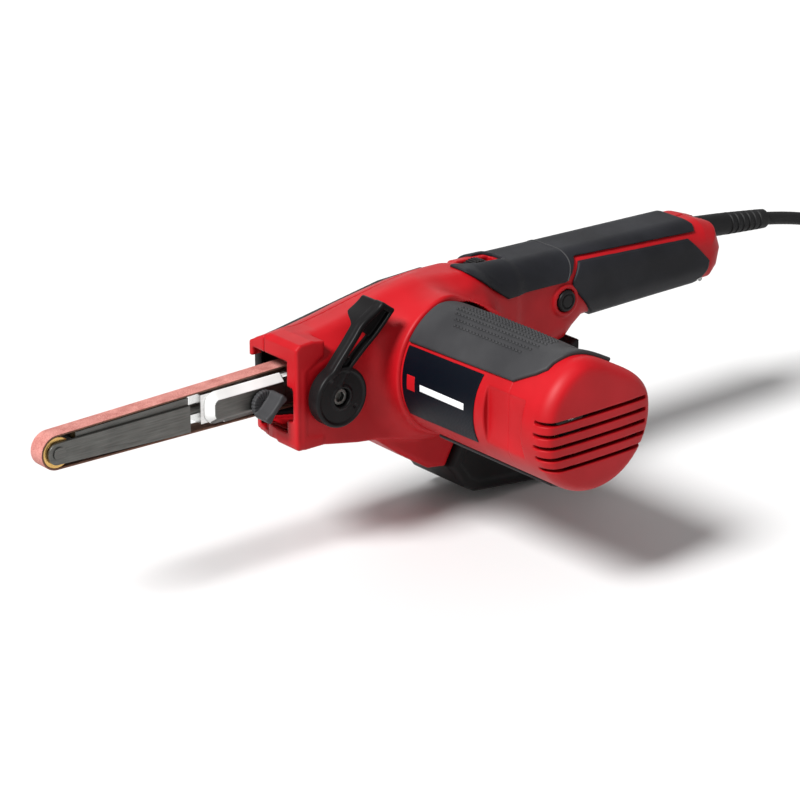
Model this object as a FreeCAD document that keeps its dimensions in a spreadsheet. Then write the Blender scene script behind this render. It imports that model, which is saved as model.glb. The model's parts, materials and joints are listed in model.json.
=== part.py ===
"""Handheld belt sander (finger sander) for 9 x 533 mm belts, as a FreeCAD document in millimetres.

Every place below is measured from the axis of the small roller at the tip of the arm: X runs back along
the tool to the cord, Y runs away from the motor, Z runs up and the belt's middle plane is Y = 0. The three
tip_* cells then set that axis in the part's own frame, whose origin is the middle of the underside.
"""
import FreeCAD, Part
import math
import os
from types import SimpleNamespace

import Sketcher
from FreeCAD import Placement, Rotation, Vector

DIMENSIONS = [
    # where the tip roller's axis lies in the part's frame
    ("tip_x", -201.51), ("tip_y", 60.25), ("tip_z", 85.5),
    # sanding belt and its two rollers
    ("belt_width", 9.0), ("belt_thick", 1.0), ("belt_gap", 0.05),
    ("tip_radius", 7.45), ("drive_radius", 11.95), ("belt_reach", 234.25),
    # motor and gear pair
    ("motor_x", 207.42), ("motor_z", 3.0), ("gear_module", 1.0), ("pinion_teeth", 18), ("wheel_teeth", 36),
    ("shaft_radius", 4.0), ("run_gap", 0.05),
    ("motor_bore", 30.5), ("motor_outer", 34.0), ("collar_outer", 36.0), ("motor_front", -38.0),
    ("motor_rear", -112.0), ("cap_radius", 33.5), ("cap_end", -142.0), ("slot_height", 1.8),
    ("slot_pitch", 5.85),
    # housing
    ("wall_thick", 2.5), ("near_side", -25.0), ("far_side", 14.0), ("cover_side", 19.0), ("grip_half", 20.0),
    ("pad_thick", 1.5), ("port_bore", 17.5), ("port_outer", 20.0), ("duct_half", 21.0),
    # arm, fork and release lever
    ("plate_thick", 1.5), ("bar_half", 4.7), ("rod_radius", 2.5), ("slide_gap", 0.1),
    ("lever_x", 141.0), ("lever_z", 0.5), ("lever_radius", 15.0), ("lever_reach", 49.0),
    ("cam_radius", 6.0), ("cam_rise", 8.0),
    # handle controls
    ("button_x", 295.0), ("button_z", 10.6), ("button_radius", 5.8),
    ("dial_x", 252.6), ("dial_z", 26.5), ("dial_radius", 10.0),
    ("hinge_x", 392.0), ("hinge_z", 0.3),
    # lead
    ("cord_diameter", 7.0), ("coil_radius", 38.0), ("coil_width", 21.0), ("coil_height", 21.0),
]

doc = FreeCAD.newDocument("belt_sander")
sheet = doc.addObject("Spreadsheet::Sheet", "Sizes")
parts = []


class Size:
    """A length from the sheet: its number, and the formula that keeps an object bound to the cells."""

    def __init__(self, number, formula=None):
        self.number = float(number)
        self.formula = formula or repr(float(number))

    def __add__(self, other):
        other = as_size(other)
        return Size(self.number + other.number, f"({self.formula} + {other.formula})")

    def __sub__(self, other):
        other = as_size(other)
        return Size(self.number - other.number, f"({self.formula} - {other.formula})")

    def __mul__(self, factor):
        return Size(self.number * factor, f"({self.formula} * {float(factor)!r})")

    def __radd__(self, other):
        return as_size(other) + self

    def __rsub__(self, other):
        return as_size(other) - self

    def __neg__(self):
        return self * -1.0

    def __float__(self):
        return self.number


def as_size(item):
    return item if isinstance(item, Size) else Size(item)


def fill_sheet():
    for row, (alias, number) in enumerate(DIMENSIONS, start=1):
        sheet.set(f"A{row}", alias.replace("_", " "))
        sheet.set(f"B{row}", str(number))
        sheet.setAlias(f"B{row}", alias)
    doc.recompute()
    return SimpleNamespace(**{alias: Size(sheet.get(alias), f"Sizes.{alias}") for alias, _ in DIMENSIONS})


d = fill_sheet()
BELT_HALF = d.belt_width * 0.5
ROTATIONS = {
    "X": Rotation(Vector(0, 1, 0), 90),
    "Y": Rotation(Vector(1, 0, 0), -90),
    "Z": Rotation(),
}


# ---------------------------------------------------------------- document helpers

def bind(thing, path, size):
    thing.setExpression(path, as_size(size).formula)


def put(thing, x, y, z):
    """Bind an object's place, given from the tip roller's axis."""
    bind(thing, "Placement.Base.x", d.tip_x + x)
    bind(thing, "Placement.Base.y", d.tip_y + y)
    bind(thing, "Placement.Base.z", d.tip_z + z)
    return thing


def box(x0, x1, y0, y1, z0, z1):
    block = doc.addObject("Part::Box", "Block")
    bind(block, "Length", as_size(x1) - x0)
    bind(block, "Width", as_size(y1) - y0)
    bind(block, "Height", as_size(z1) - z0)
    return put(block, x0, y0, z0)


def cylinder(radius, start, end, x=0.0, y=0.0, z=0.0, axis="Y"):
    """A cylinder from start to end along its axis; the other two coordinates give its centre."""
    rod = doc.addObject("Part::Cylinder", "Cylinder")
    rod.Placement = Placement(Vector(), ROTATIONS[axis])
    bind(rod, "Radius", radius)
    bind(rod, "Height", as_size(end) - start)
    base = {"X": (start, y, z), "Y": (x, start, z), "Z": (x, y, start)}[axis]
    return put(rod, *base)


def fuse(*pieces):
    union = doc.addObject("Part::MultiFuse", "Union")
    union.Shapes = list(pieces)
    return union


def cut(base, *tools):
    result = doc.addObject("Part::Cut", "Cut")
    result.Base = base
    result.Tool = tools[0] if len(tools) == 1 else fuse(*tools)
    return result


def common(base, tool):
    result = doc.addObject("Part::Common", "Common")
    result.Base = base
    result.Tool = tool
    return result


def group(*pieces):
    bundle = doc.addObject("Part::Compound", "Group")
    bundle.Links = list(pieces)
    return bundle


def tube(outer, inner, start, end, **centre):
    return cut(cylinder(outer, start, end, **centre), cylinder(inner, start - 1, end + 1, **centre))


def feature(shape):
    """An object whose shape is made here, then placed from the tip roller's axis."""
    solid = doc.addObject("Part::Feature", "Shape")
    solid.Shape = shape
    datum = Placement(Vector(float(d.tip_x), float(d.tip_y), float(d.tip_z)), Rotation())
    solid.Placement = datum.multiply(shape.Placement)
    return solid


def keep(node, thing):
    """Name a finished sub-part after its node."""
    thing.Label = node
    parts.append((node, thing))
    return thing


def plate(outline, start, end, holes=(), rounds=()):
    """A body padded along Y from start to end, with round holes (x, z, radius) and rounded corners."""
    body = doc.addObject("PartDesign::Body", "Body")
    sketch = body.newObject("Sketcher::SketchObject", "Outline")
    plane = next(item for item in body.Origin.OriginFeatures if item.Role == "XZ_Plane")
    sketch.AttachmentSupport = [(plane, "")]
    sketch.MapMode = "FlatFace"
    corners = [Vector(float(x), float(z), 0) for x, z in outline]
    count = len(corners)
    for index in range(count):
        sketch.addGeometry(Part.LineSegment(corners[index], corners[(index + 1) % count]), False)
    for index in range(count):
        sketch.addConstraint(Sketcher.Constraint("Coincident", index, 2, (index + 1) % count, 1))
    for index, (x, z) in enumerate(outline):
        fix_point(sketch, index, 1, x, z)
    for x, z, radius in holes:
        circle = Part.Circle(Vector(float(x), float(z), 0), Vector(0, 0, 1), float(radius))
        ring = sketch.addGeometry(circle, False)
        number = sketch.addConstraint(Sketcher.Constraint("Radius", ring, float(radius)))
        bind(sketch, f"Constraints[{number}]", radius)
        fix_point(sketch, ring, 3, x, z)
    pad = body.newObject("PartDesign::Pad", "Pad")
    pad.Profile = sketch
    pad.Reversed = True
    bind(pad, "Length", as_size(end) - start)
    put(body, 0.0, start, 0.0)
    doc.recompute()
    for x, z, radius in rounds:
        body_round(body, x, z, radius)
    return body


def fix_point(sketch, geometry, point, x, z):
    for kind, size in (("DistanceX", x), ("DistanceY", z)):
        number = sketch.addConstraint(Sketcher.Constraint(kind, -1, 1, geometry, point, float(size)))
        bind(sketch, f"Constraints[{number}]", size)


def body_round(body, x, z, radius):
    """Round the edge of a body that runs along Y through x, z."""
    tip = body.Tip
    for number, edge in enumerate(tip.Shape.Edges, start=1):
        ends = [vertex.Point for vertex in edge.Vertexes]
        if all(math.hypot(end.x - float(x), end.z - float(z)) < 0.01 for end in ends):
            fillet = body.newObject("PartDesign::Fillet", "Round")
            fillet.Base = (tip, [f"Edge{number}"])
            bind(fillet, "Radius", radius)
            doc.recompute()
            return


def prism(points, start, end):
    """A solid from corners in X and Z, drawn out along Y."""
    start, end = float(start), float(end)
    corners = [Vector(float(x), start, float(z)) for x, z in points]
    face = Part.Face(Part.makePolygon(corners + corners[:1]))
    return face.extrude(Vector(0, end - start, 0))


def shrunk(points, distance, start, end):
    """The same kind of solid, with its outline moved in by distance."""
    start, end = float(start), float(end)
    corners = [Vector(float(x), start, float(z)) for x, z in points]
    outline = Part.makePolygon(corners + corners[:1]).makeOffset2D(-float(distance), 2)
    return Part.Face(outline).extrude(Vector(0, end - start, 0))


def turned(profile, x, z):
    """A solid turned about an axis along Y through x, z, from (radius, y) corners."""
    corners = [Vector(float(x) + float(radius), float(y), float(z)) for radius, y in profile]
    face = Part.Face(Part.makePolygon(corners + corners[:1]))
    return face.revolve(Vector(float(x), 0, float(z)), Vector(0, 1, 0), 360)


def block(x0, x1, y0, y1, z0, z1):
    sizes = [float(end) - float(start) for start, end in ((x0, x1), (y0, y1), (z0, z1))]
    return Part.makeBox(*sizes, Vector(float(x0), float(y0), float(z0)))


def round_bar(radius, start, end, x, z):
    centre = Vector(float(x), float(start), float(z))
    return Part.makeCylinder(float(radius), float(end) - float(start), centre, Vector(0, 1, 0))


# ---------------------------------------------------------------- housing

BODY = [(124, -24), (124, 26), (143, 28), (205, 38.6), (232, 39.5), (246, 34.6), (262, 33.6), (262, -25),
        (232, -38), (219.6, -60.7), (209, -59), (192, -47.8), (170, -31.2), (158, -29.6)]
HANDLE = [(252, -27), (252, 33.9), (396, 29.9), (407, 26), (411.5, 14), (409, 3), (403, -3.6), (322, -4),
          (313, -9), (301, -15), (288, -16.5), (262, -25)]
COVER = [(129, -22), (129, 18.5), (143, 20.5), (205, 31), (232, 32), (246, 27), (250.5, 26), (250.5, -28),
         (232, -34), (170, -29), (158, -27.6)]
SCREW_PLACES = [(272, 22), (304, -3), (383, 24), (402, 10), (166, -25.5)]
SCREW_RADIUS = 1.5
SCREW_FIT = 0.1
BOSS_RADIUS = 4.0
SHELL_TOP_SLOPE = Vector(150, 0, 25.5)
SLEEVE_START = (404.0, 0.0, 20.8)
SLEEVE_RADIUS = 6.0
CORD_START = (457.0, 0.0, 15.0)


def top_chamfer():
    """The slanted strip along the upper near edge of the body, where the release lever's tab passes."""
    side, top = float(d.near_side), 27.0
    corners = [Vector(110, side - 1, top - 14), Vector(110, side - 1, top + 6),
               Vector(110, side + 13, top + 6), Vector(110, side + 13, top - 3)]
    return Part.Face(Part.makePolygon(corners + corners[:1])).extrude(SHELL_TOP_SLOPE)


def far_chamfer(drop):
    """The strip where the body's top falls away to the far side, drop below the top surface."""
    side = float(d.far_side) + 2
    rising = [Vector(110, 3, 22.4 - drop), Vector(110, side, 15.3 - drop), Vector(110, side, 40)]
    level = [Vector(205, 3, 38.6 - drop), Vector(205, side, 31.5 - drop), Vector(205, side, 60)]
    front = Part.Face(Part.makePolygon(rising + rising[:1])).extrude(SHELL_TOP_SLOPE)
    return front.fuse(Part.Face(Part.makePolygon(level + level[:1])).extrude(Vector(60, 0, 0)))


def near_taper(depth):
    """The wedge by which the body's near side draws in to the handle, depth inside the outer surface."""
    side = float(d.near_side) + depth
    corners = [Vector(247, side - 8, -45), Vector(247, side, -45), Vector(262, side + 5, -45),
               Vector(263, side - 8, -45)]
    return Part.Face(Part.makePolygon(corners + corners[:1])).extrude(Vector(0, 0, 95))


# the tracking knob's flange ends at its neck, and its wing at its end
KNOB_NECK, KNOB_END = -12.0, -21.0


def housing_outside():
    body = prism(BODY, d.near_side, d.far_side).cut([top_chamfer(), far_chamfer(0), near_taper(0)])
    handle = prism(HANDLE, -d.grip_half, d.grip_half)
    collar = round_bar(d.collar_outer, d.motor_front, d.near_side + 6, d.motor_x, d.motor_z)
    return body.fuse([handle, collar])


def housing_inside():
    wall = d.wall_thick
    body = shrunk(BODY, wall, d.near_side + wall, d.far_side + 1)
    body = body.cut([top_chamfer().translated(Vector(0, 3, -3)), far_chamfer(3), near_taper(wall)])
    handle = shrunk(HANDLE, wall, wall - d.grip_half, d.grip_half - wall)
    front = block(118, 130, -17.6, d.far_side + 1, -17.6, 18)
    notch = block(118, 130, KNOB_END - 0.8, 0, -11, 6)
    motor = round_bar(d.motor_bore, d.motor_front - 1, d.near_side + wall + 1, d.motor_x, d.motor_z)
    lever = round_bar(d.shaft_radius + d.run_gap, d.near_side - 1, 0, d.lever_x, d.lever_z)
    button = round_bar(d.button_radius + d.run_gap, -d.grip_half - 1, 0, d.button_x, d.button_z)
    dial = block(d.dial_x - 11.5, d.dial_x + 11.5, -3.6, 3.6, 24, 42)
    trigger = block(320.5, 400.5, -10.6, 10.6, -20, 2)
    chute = block(218, 232, -14, 10, -62, -40)
    pin = round_bar(1.5, -18.5, 18.5, d.hinge_x, d.hinge_z)
    sleeve_start = Vector(*SLEEVE_START)
    cord = Part.makeCylinder(SLEEVE_RADIUS, 30, sleeve_start, Vector(*CORD_START) - sleeve_start)
    return body.fuse([handle, front, notch, motor, lever, button, dial, trigger, chute, pin, cord])


def make_shells():
    """Two clamshell halves that meet at the belt's middle plane, with screw bosses between them."""
    hollow = housing_outside().cut(housing_inside())
    bosses = [round_bar(BOSS_RADIUS, 1 - d.grip_half, d.grip_half - 1, x, z) for x, z in SCREW_PLACES[:-1]]
    bosses.append(round_bar(BOSS_RADIUS, d.near_side + 1, d.far_side, *SCREW_PLACES[-1]))
    ribs = [block(x0, x1, y0, y1, z0, z1) for x0, x1, y0, y1, z0, z1 in (
        (334, 337, -18.5, -9, 6, 20), (334, 337, 9, 18.5, 6, 20), (360, 363, -18.5, -9, 6, 20),
        (360, 363, 9, 18.5, 6, 20), (256, 260, -23.5, -8, 8, 11), (256, 260, 8, 18.5, 8, 11))]
    hollow = hollow.fuse(bosses + ribs)
    threads = [round_bar(SCREW_RADIUS, -10, 0, x, z) for x, z in SCREW_PLACES]
    shanks = [round_bar(SCREW_RADIUS + SCREW_FIT, 0, 30, x, z) for x, z in SCREW_PLACES]
    heads = [round_bar(3.1, 10, 30, x, z) for x, z in SCREW_PLACES]
    hollow = hollow.cut(threads + shanks + heads)
    keep("main_shell_near", feature(hollow.common(block(0, 500, -60, 0, -90, 60))))
    keep("main_shell_far", feature(hollow.common(block(0, 500, 0, 60, -90, 60))))


def make_housing_screws():
    screws = []
    for x, z in SCREW_PLACES:
        shank = cylinder(SCREW_RADIUS, -10.0, 10.0, x=x, z=z)
        screws.append(fuse(shank, cylinder(3.0, 10.0, 12.4, x=x, z=z)))
    keep("housing_screws", group(*screws))


def make_belt_cover():
    outer = prism(COVER, d.far_side, d.cover_side)
    inner = shrunk(COVER, d.wall_thick, d.far_side - 1, d.cover_side - d.wall_thick)
    keep("belt_cover", feature(outer.cut(inner)))


MOTOR_FLAT = 27.0
FLAT_UP = (0.469, 0.883)


def flat_side(distance):
    """Everything beyond the motor's flattened upper back, at a distance from its axis."""
    across = (FLAT_UP[1], -FLAT_UP[0])
    x, z = float(d.motor_x) + FLAT_UP[0] * distance, float(d.motor_z) + FLAT_UP[1] * distance
    corners = [(x + across[0] * aside + FLAT_UP[0] * out, z + across[1] * aside + FLAT_UP[1] * out)
               for aside, out in ((-60, 0), (60, 0), (60, 60), (-60, 60))]
    return prism(corners, -150, -20)


def flattened(radius, distance, start, end):
    """A round bar about the motor's axis with one flattened side."""
    return round_bar(radius, start, end, d.motor_x, d.motor_z).cut(flat_side(distance))


def motor_ring(inner, outer, start, end, window):
    """The stretch of a ring round the motor that lies within a box."""
    centre = {"x": d.motor_x, "z": d.motor_z}
    return common(tube(outer, inner, start, end, **centre), box(*window))


def make_motor_housing():
    skin, rear_end, front_end = d.motor_outer, d.motor_rear, d.motor_front
    inside = flattened(d.motor_bore, MOTOR_FLAT - 2, rear_end - 1, front_end + 1)
    keep("motor_housing", feature(flattened(skin, MOTOR_FLAT, rear_end, front_end).cut(inside)))
    front, rear = d.motor_rear + 4, d.motor_front - 2
    keep("label_plate", motor_ring(skin, skin + 0.6, rear - 52, rear, (
        d.motor_x - 40, d.motor_x - 10, -120.0, -40.0, -20.0, 20.5)))
    grip = flattened(skin + 2.2, MOTOR_FLAT + 1.8, front, rear)
    grip = grip.cut(flattened(skin, MOTOR_FLAT, front - 1, rear + 1))
    keep("motor_grip", feature(grip.common(block(d.motor_x - 28, d.motor_x + 36, -120, -40, 21.5, 50))))
    keep("motor_bottom_strip", motor_ring(skin, skin + 1.5, front, rear, (
        d.motor_x - 22, d.motor_x + 22, -120.0, -40.0, -50.0, -27.0)))


def make_end_cap():
    """The vented cap: a waisted neck, then a bulb with five slots through its outer end."""
    rear, end, bulb, wall = float(d.motor_rear), float(d.cap_end), float(d.cap_radius), float(d.wall_thick)
    neck = bulb - 2
    outside = [(0, rear), (float(d.motor_outer), rear), (neck, rear - 6), (bulb, rear - 13),
               (bulb, rear - 20), (bulb - 2.5, rear - 26), (bulb - 7, end), (0, end)]
    inside = [(0, rear + 1), (neck - wall, rear + 1), (neck - wall, rear - 8), (bulb - wall, rear - 14),
              (bulb - wall, rear - 20), (bulb - 8.5, end + wall), (0, end + wall)]
    inner = turned(inside, d.motor_x, d.motor_z).cut(flat_side(MOTOR_FLAT - 1.5))
    cap = turned(outside, d.motor_x, d.motor_z).cut([flat_side(MOTOR_FLAT + 1), inner])
    half = float(d.slot_height) / 2
    for row in range(-2, 3):
        level = float(d.motor_z) + row * float(d.slot_pitch) - 5.1
        cap = cap.cut(block(d.motor_x - 40, d.motor_x + 28, end - 1, end + 13, level - half, level + half))
    keep("motor_end_cap", feature(cap))


def make_handle_pads():
    """Soft pads on the handle: one over the top, and one on each side below a thin red line."""
    half, pad = d.grip_half, d.pad_thick
    top = [(254, 20), (258, 33.4), (390, 30.0), (390, 26.4), (305, 30), (296, 20.3)]
    outer = prism([(x, z + 1.2 if z > 22 else z) for x, z in top], -half - pad, half + pad)
    dial_recess = block(250, d.dial_x + 12.5, -5, 5, 30, 40)
    keep("handle_grip_top", feature(outer.cut([housing_outside(), dial_recess])))
    side = [(311.5, 3), (299, 17), (306, 27.5), (382, 23.7), (396, 10), (396, 3), (392, -2), (320, -2)]
    keep("handle_pad_near", plate(side, -half - pad, -half))
    keep("handle_pad_far", plate(side, half, half + pad))


def make_dust_adapter():
    """The black duct under the belly, open to the chute in front and to a round hose port behind."""
    outline = [(219.6, -60.7), (229, -73.5), (237, -78), (306, -85.5), (306, -12.5), (301, -15), (288, -16.5),
               (262, -25), (232, -38)]
    wall, half = d.wall_thick, d.duct_half
    centre_z = -58.5
    port = Part.makeCylinder(float(d.port_outer), 16, Vector(304, 0, centre_z), Vector(1, 0, 0))
    bore = Part.makeCylinder(float(d.port_bore), 30, Vector(300, 0, centre_z), Vector(1, 0, 0))
    duct = prism(outline, -half, half).fuse(port)
    inner = shrunk(outline, wall, wall - half, half - wall)
    inlet = block(215, 234, -12, 8, -60, -44)
    keep("dust_adapter", feature(duct.cut([inner, bore, inlet])))


# ---------------------------------------------------------------- motor

def make_stator():
    centre = {"x": d.motor_x, "z": d.motor_z}
    core = tube(d.motor_bore, 15.0, -97.0, -62.0, **centre)
    keep("stator_core", cut(core, feature(flat_side(MOTOR_FLAT - 2.1))))
    windings = [tube(24.5, 16.0, start, start + 4.8, **centre) for start in (-101.8, -62.0)]
    keep("stator_windings", group(*windings))


def make_armature():
    centre = {"x": d.motor_x, "z": d.motor_z}
    shaft = d.shaft_radius
    keep("armature_shaft", cylinder(shaft, -121.0, -11.0, **centre))
    keep("armature_core", tube(14.4, shaft, -97.0, -62.0, **centre))
    keep("commutator", tube(10.0, shaft, -111.0, -102.0, **centre))
    blades = [fan_blade(angle) for angle in range(0, 360, 30)]
    hub = turned([(float(shaft), -45), (24.3, -45), (24.3, -43.5), (9, -43.5), (9, -35), (float(shaft), -35)],
                 d.motor_x, d.motor_z)
    keep("fan", feature(hub.fuse(blades)))


def fan_blade(angle):
    blade = Part.makeBox(14, 8.5, 1.4, Vector(float(d.motor_x) + 10, -44, float(d.motor_z)))
    centre = Vector(float(d.motor_x), 0, float(d.motor_z))
    blade.rotate(centre, Vector(0, 1, 0), angle)
    return blade


def make_brushes():
    """Two carbon brushes press on the commutator from above and below, each in a brass holder."""
    holders, brushes = [], []
    for side in (1, -1):
        near, far = (10.1, 22.0) if side > 0 else (-22.0, -10.1)
        inner, outer = (12.5, 25.5) if side > 0 else (-25.5, -12.5)
        x, z = d.motor_x, d.motor_z
        brushes.append(box(x - 3, x + 3, -110.0, -103.0, z + near, z + far))
        outside = box(x - 4.5, x + 4.5, -111.5, -102.1, z + inner, z + outer)
        holders.append(cut(outside, box(x - 3.05, x + 3.05, -110.05, -102.95, z + inner - 1, z + outer + 1)))
    keep("brush_holders", group(*holders))
    keep("carbon_brushes", group(*brushes))


def make_bearings():
    """Ball bearings as plain rings: 608 and 698 on the motor shaft, 698 and 688 on the roller shaft."""
    motor, drive = {"x": d.motor_x, "z": d.motor_z}, {"x": d.belt_reach, "z": 0.0}
    shaft = d.shaft_radius + 0.02
    keep("motor_front_bearing", tube(11.0, shaft, -30.0, -23.0, **motor))
    keep("motor_rear_bearing", tube(9.5, shaft, -120.0, -114.0, **motor))
    inner, outer = tube(9.5, shaft, -11.6, -5.6, **drive), tube(8.0, shaft, -22.4, -18.4, **drive)
    keep("roller_bearings", group(inner, outer))


def make_bearing_supports():
    motor, drive = {"x": d.motor_x, "z": d.motor_z}, {"x": d.belt_reach, "z": 0.0}
    disc = cylinder(d.motor_bore, -31.0, -22.6, **motor)
    lobe = box(201.0, 246.5, -22.6, -18.4, -11.5, 12.0)
    pockets = [cylinder(11.0, -30.0, -22.0, **motor), cylinder(7.0, -32.0, -18.0, **motor),
               cylinder(8.0, -22.4, -18.0, **drive)]
    keep("bearing_plate", cut(fuse(disc, lobe), feature(flat_side(MOTOR_FLAT + 1.5)), *pockets))
    web = box(219.0, 249.5, -11.6, -5.6, -23.0, 25.0)
    posts = [cylinder(3.0, -22.4, -11.6, x=243.9, z=z) for z in (-20.0, 22.0)]
    keep("roller_support", cut(fuse(web, *posts), cylinder(9.5, -12.0, -5.0, **drive)))
    ring = tube(12.5, 9.5, -120.0, -114.0, **motor)
    spokes = [box(d.motor_x + x0, d.motor_x + x1, -120.0, -114.0, d.motor_z + z0, d.motor_z + z1)
              for x0, x1, z0, z1 in ((12.0, 28.7, -4.0, 4.0), (-28.7, -12.0, -4.0, 4.0))]
    keep("rear_bearing_bridge", fuse(ring, *spokes))


# ---------------------------------------------------------------- gears and rollers

PRESSURE_ANGLE = math.radians(20)
FLANK_STEPS = 4
BACKLASH = 0.004


def gear_face(teeth, first_angle, bore):
    """A spur gear's outline in X and Z about its own axis, with involute flanks as short chords."""
    module = float(d.gear_module)
    pitch = module * teeth / 2
    base = pitch * math.cos(PRESSURE_ANGLE)
    tip, root = pitch + 0.9 * module, pitch - 1.2 * module
    half_tooth = math.pi / (2 * teeth) - BACKLASH + math.tan(PRESSURE_ANGLE) - PRESSURE_ANGLE
    start = max(base, root)
    flank = []
    for step in range(FLANK_STEPS + 1):
        radius = start + (tip - start) * step / FLANK_STEPS
        roll = math.acos(min(1.0, base / radius))
        flank.append((radius, half_tooth - (math.tan(roll) - roll)))
    if root < start:
        flank.insert(0, (root, flank[0][1]))
    points = []
    for tooth in range(teeth):
        middle = first_angle + 2 * math.pi * tooth / teeth
        for radius, half in flank:
            points.append((radius, middle - half))
        for radius, half in reversed(flank):
            points.append((radius, middle + half))
    corners = [Vector(r * math.cos(a), 0, r * math.sin(a)) for r, a in points]
    outline = Part.makePolygon(corners + corners[:1])
    hole = Part.Wire(Part.makeCircle(float(bore), Vector(), Vector(0, 1, 0)))
    return Part.Face(outline).cut(Part.Face(hole)).Faces[0]


def make_gears():
    """An 18-tooth pinion on the motor shaft drives a 36-tooth wheel on the roller shaft."""
    line = math.atan2(-float(d.motor_z), float(d.belt_reach) - float(d.motor_x))
    pinion_teeth, wheel_teeth = int(float(d.pinion_teeth)), int(float(d.wheel_teeth))
    pinion = gear_face(pinion_teeth, line, d.shaft_radius).extrude(Vector(0, 6, 0))
    pinion.translate(Vector(float(d.motor_x), -18, float(d.motor_z)))
    keep("motor_pinion", feature(pinion))
    half_tooth = math.pi / wheel_teeth
    wheel = gear_face(wheel_teeth, line + math.pi + half_tooth, d.shaft_radius).extrude(Vector(0, 5.6, 0))
    wheel.translate(Vector(float(d.belt_reach), -17.8, 0))
    keep("drive_gear", feature(wheel))


def make_drive_roller():
    keep("drive_shaft", cylinder(d.shaft_radius, -22.0, 5.0, x=d.belt_reach, z=0.0))
    keep("drive_roller", tube(d.drive_radius, d.shaft_radius, -5.0, 5.0, x=d.belt_reach, z=0.0))


def make_tip_roller():
    keep("tip_roller", tube(d.tip_radius, d.rod_radius + d.run_gap, -BELT_HALF, BELT_HALF, x=0.0, z=0.0))
    side = BELT_HALF + 0.3 + d.plate_thick
    pin = cylinder(d.rod_radius, -side, side, x=0.0, z=0.0)
    heads = [cylinder(3.2, -side - 0.7, -side, x=0.0, z=0.0), cylinder(3.2, side, side + 0.7, x=0.0, z=0.0)]
    keep("tip_axle", fuse(pin, *heads))


def belt_loop(extra):
    """The face inside the belt's loop, moved out by extra, in the plane Y = 0."""
    small, large, reach = float(d.tip_radius) + extra, float(d.drive_radius) + extra, float(d.belt_reach)
    lean = math.asin((large - small) / reach)
    up, down = Vector(-math.sin(lean), 0, math.cos(lean)), Vector(-math.sin(lean), 0, -math.cos(lean))
    far = Vector(reach, 0, 0)
    edges = [Part.LineSegment(up * small, far + up * large),
             Part.Arc(far + up * large, far + Vector(large, 0, 0), far + down * large),
             Part.LineSegment(far + down * large, down * small),
             Part.Arc(down * small, Vector(-small, 0, 0), up * small)]
    return Part.Face(Part.Wire([edge.toShape() for edge in edges]))


def make_belt():
    inside = float(d.belt_gap)
    half = float(BELT_HALF)
    width = Vector(0, 2 * half, 0)
    loop = belt_loop(inside + float(d.belt_thick)).extrude(width).cut(belt_loop(inside).extrude(width))
    loop.translate(Vector(0, -half, 0))
    keep("sanding_belt", feature(loop))


# ---------------------------------------------------------------- arm

def make_fork():
    """The sprung front of the arm: two plates, the pressure pad between them and the rod behind."""
    side = BELT_HALF + 0.3
    outline = [(-5.6, 5.2), (73, 5.0), (73, -8.4), (-5.6, -5.2)]
    rounds = [(-5.6, 5.2, 5.0), (-5.6, -5.2, 5.0)]
    hole = [(0.0, 0.0, d.rod_radius)]
    keep("fork_plate_near", plate(outline, -side - d.plate_thick, -side, hole, rounds))
    keep("fork_plate_far", plate(outline, side, side + d.plate_thick, hole, rounds))
    keep("platen", plate([(10, 3.6), (10, 7.5), (73, 8.65), (73, 3.6)], -side, side))
    foot = box(60.0, 73.0, -side, side, -7.5, 3.6)
    rod = cylinder(d.rod_radius, 73.0, 112.0, axis="X")
    keep("fork_rod", fuse(foot, rod, cylinder(3.4, 112.0, 116.0, axis="X")))


PLATE_FACE = -9.0
PLATE_BEVEL = 3.4


def bevelled_plate():
    """The carrier plate's thick front, its near edges bevelled all round except at the rear."""
    rear = 121.5
    body = Part.Face(Part.makePolygon([Vector(82, PLATE_FACE, 8.4), Vector(rear, PLATE_FACE, 8.4),
                                       Vector(rear, PLATE_FACE, -7.8), Vector(82, PLATE_FACE, -7.8),
                                       Vector(82, PLATE_FACE, 8.4)]))
    body = body.extrude(Vector(0, -float(d.bar_half) - PLATE_FACE, 0))
    corners = [edge for edge in body.Edges if abs(edge.tangentAt(0).y) > 0.9 and edge.CenterOfMass.x < 83]
    body = body.makeFillet(5.0, corners)
    near = [edge for edge in body.Edges if abs(edge.CenterOfMass.y - PLATE_FACE) < 0.01]
    return body.makeChamfer(PLATE_BEVEL, [edge for edge in near if edge.CenterOfMass.x < rear - 0.1])


def make_carrier():
    """The bar that carries the fork, the tongue in the guide and the nose that the cam pushes."""
    bar = box(80.0, 200.0, -d.bar_half, d.bar_half, -6.5, 8.0)
    nose = d.lever_x + d.cam_radius + 0.1
    middle = d.lever_z
    neck = plate([(nose, middle), (nose + 4.5, middle + 4.5), (186.0, middle + 4.5), (186.0, middle - 4.5),
                  (nose + 4.5, middle - 4.5)], -14.0, -d.bar_half)
    tongue = box(158.0, 186.0, -20.0, -14.0, -7.5, 8.5)
    bores = [cylinder(d.rod_radius + d.run_gap, 79.0, 89.0, axis="X"), cylinder(3.5, 88.0, 140.0, axis="X")]
    keep("arm_carrier", cut(fuse(bar, neck, tongue), *bores))
    thin = plate([(84, 6.4), (145, 6.4), (145, -7.8), (84, -7.8)], -d.bar_half - 2, -d.bar_half)
    rear_part = cut(thin, box(83.0, 92.0, -20.0, 0.0, -20.0, 20.0))
    keep("carrier_plate", fuse(rear_part, feature(bevelled_plate())))
    keep("tension_spring", tube(3.3, 2.0, 116.0, 140.0, x=0.0, axis="X"))


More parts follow.
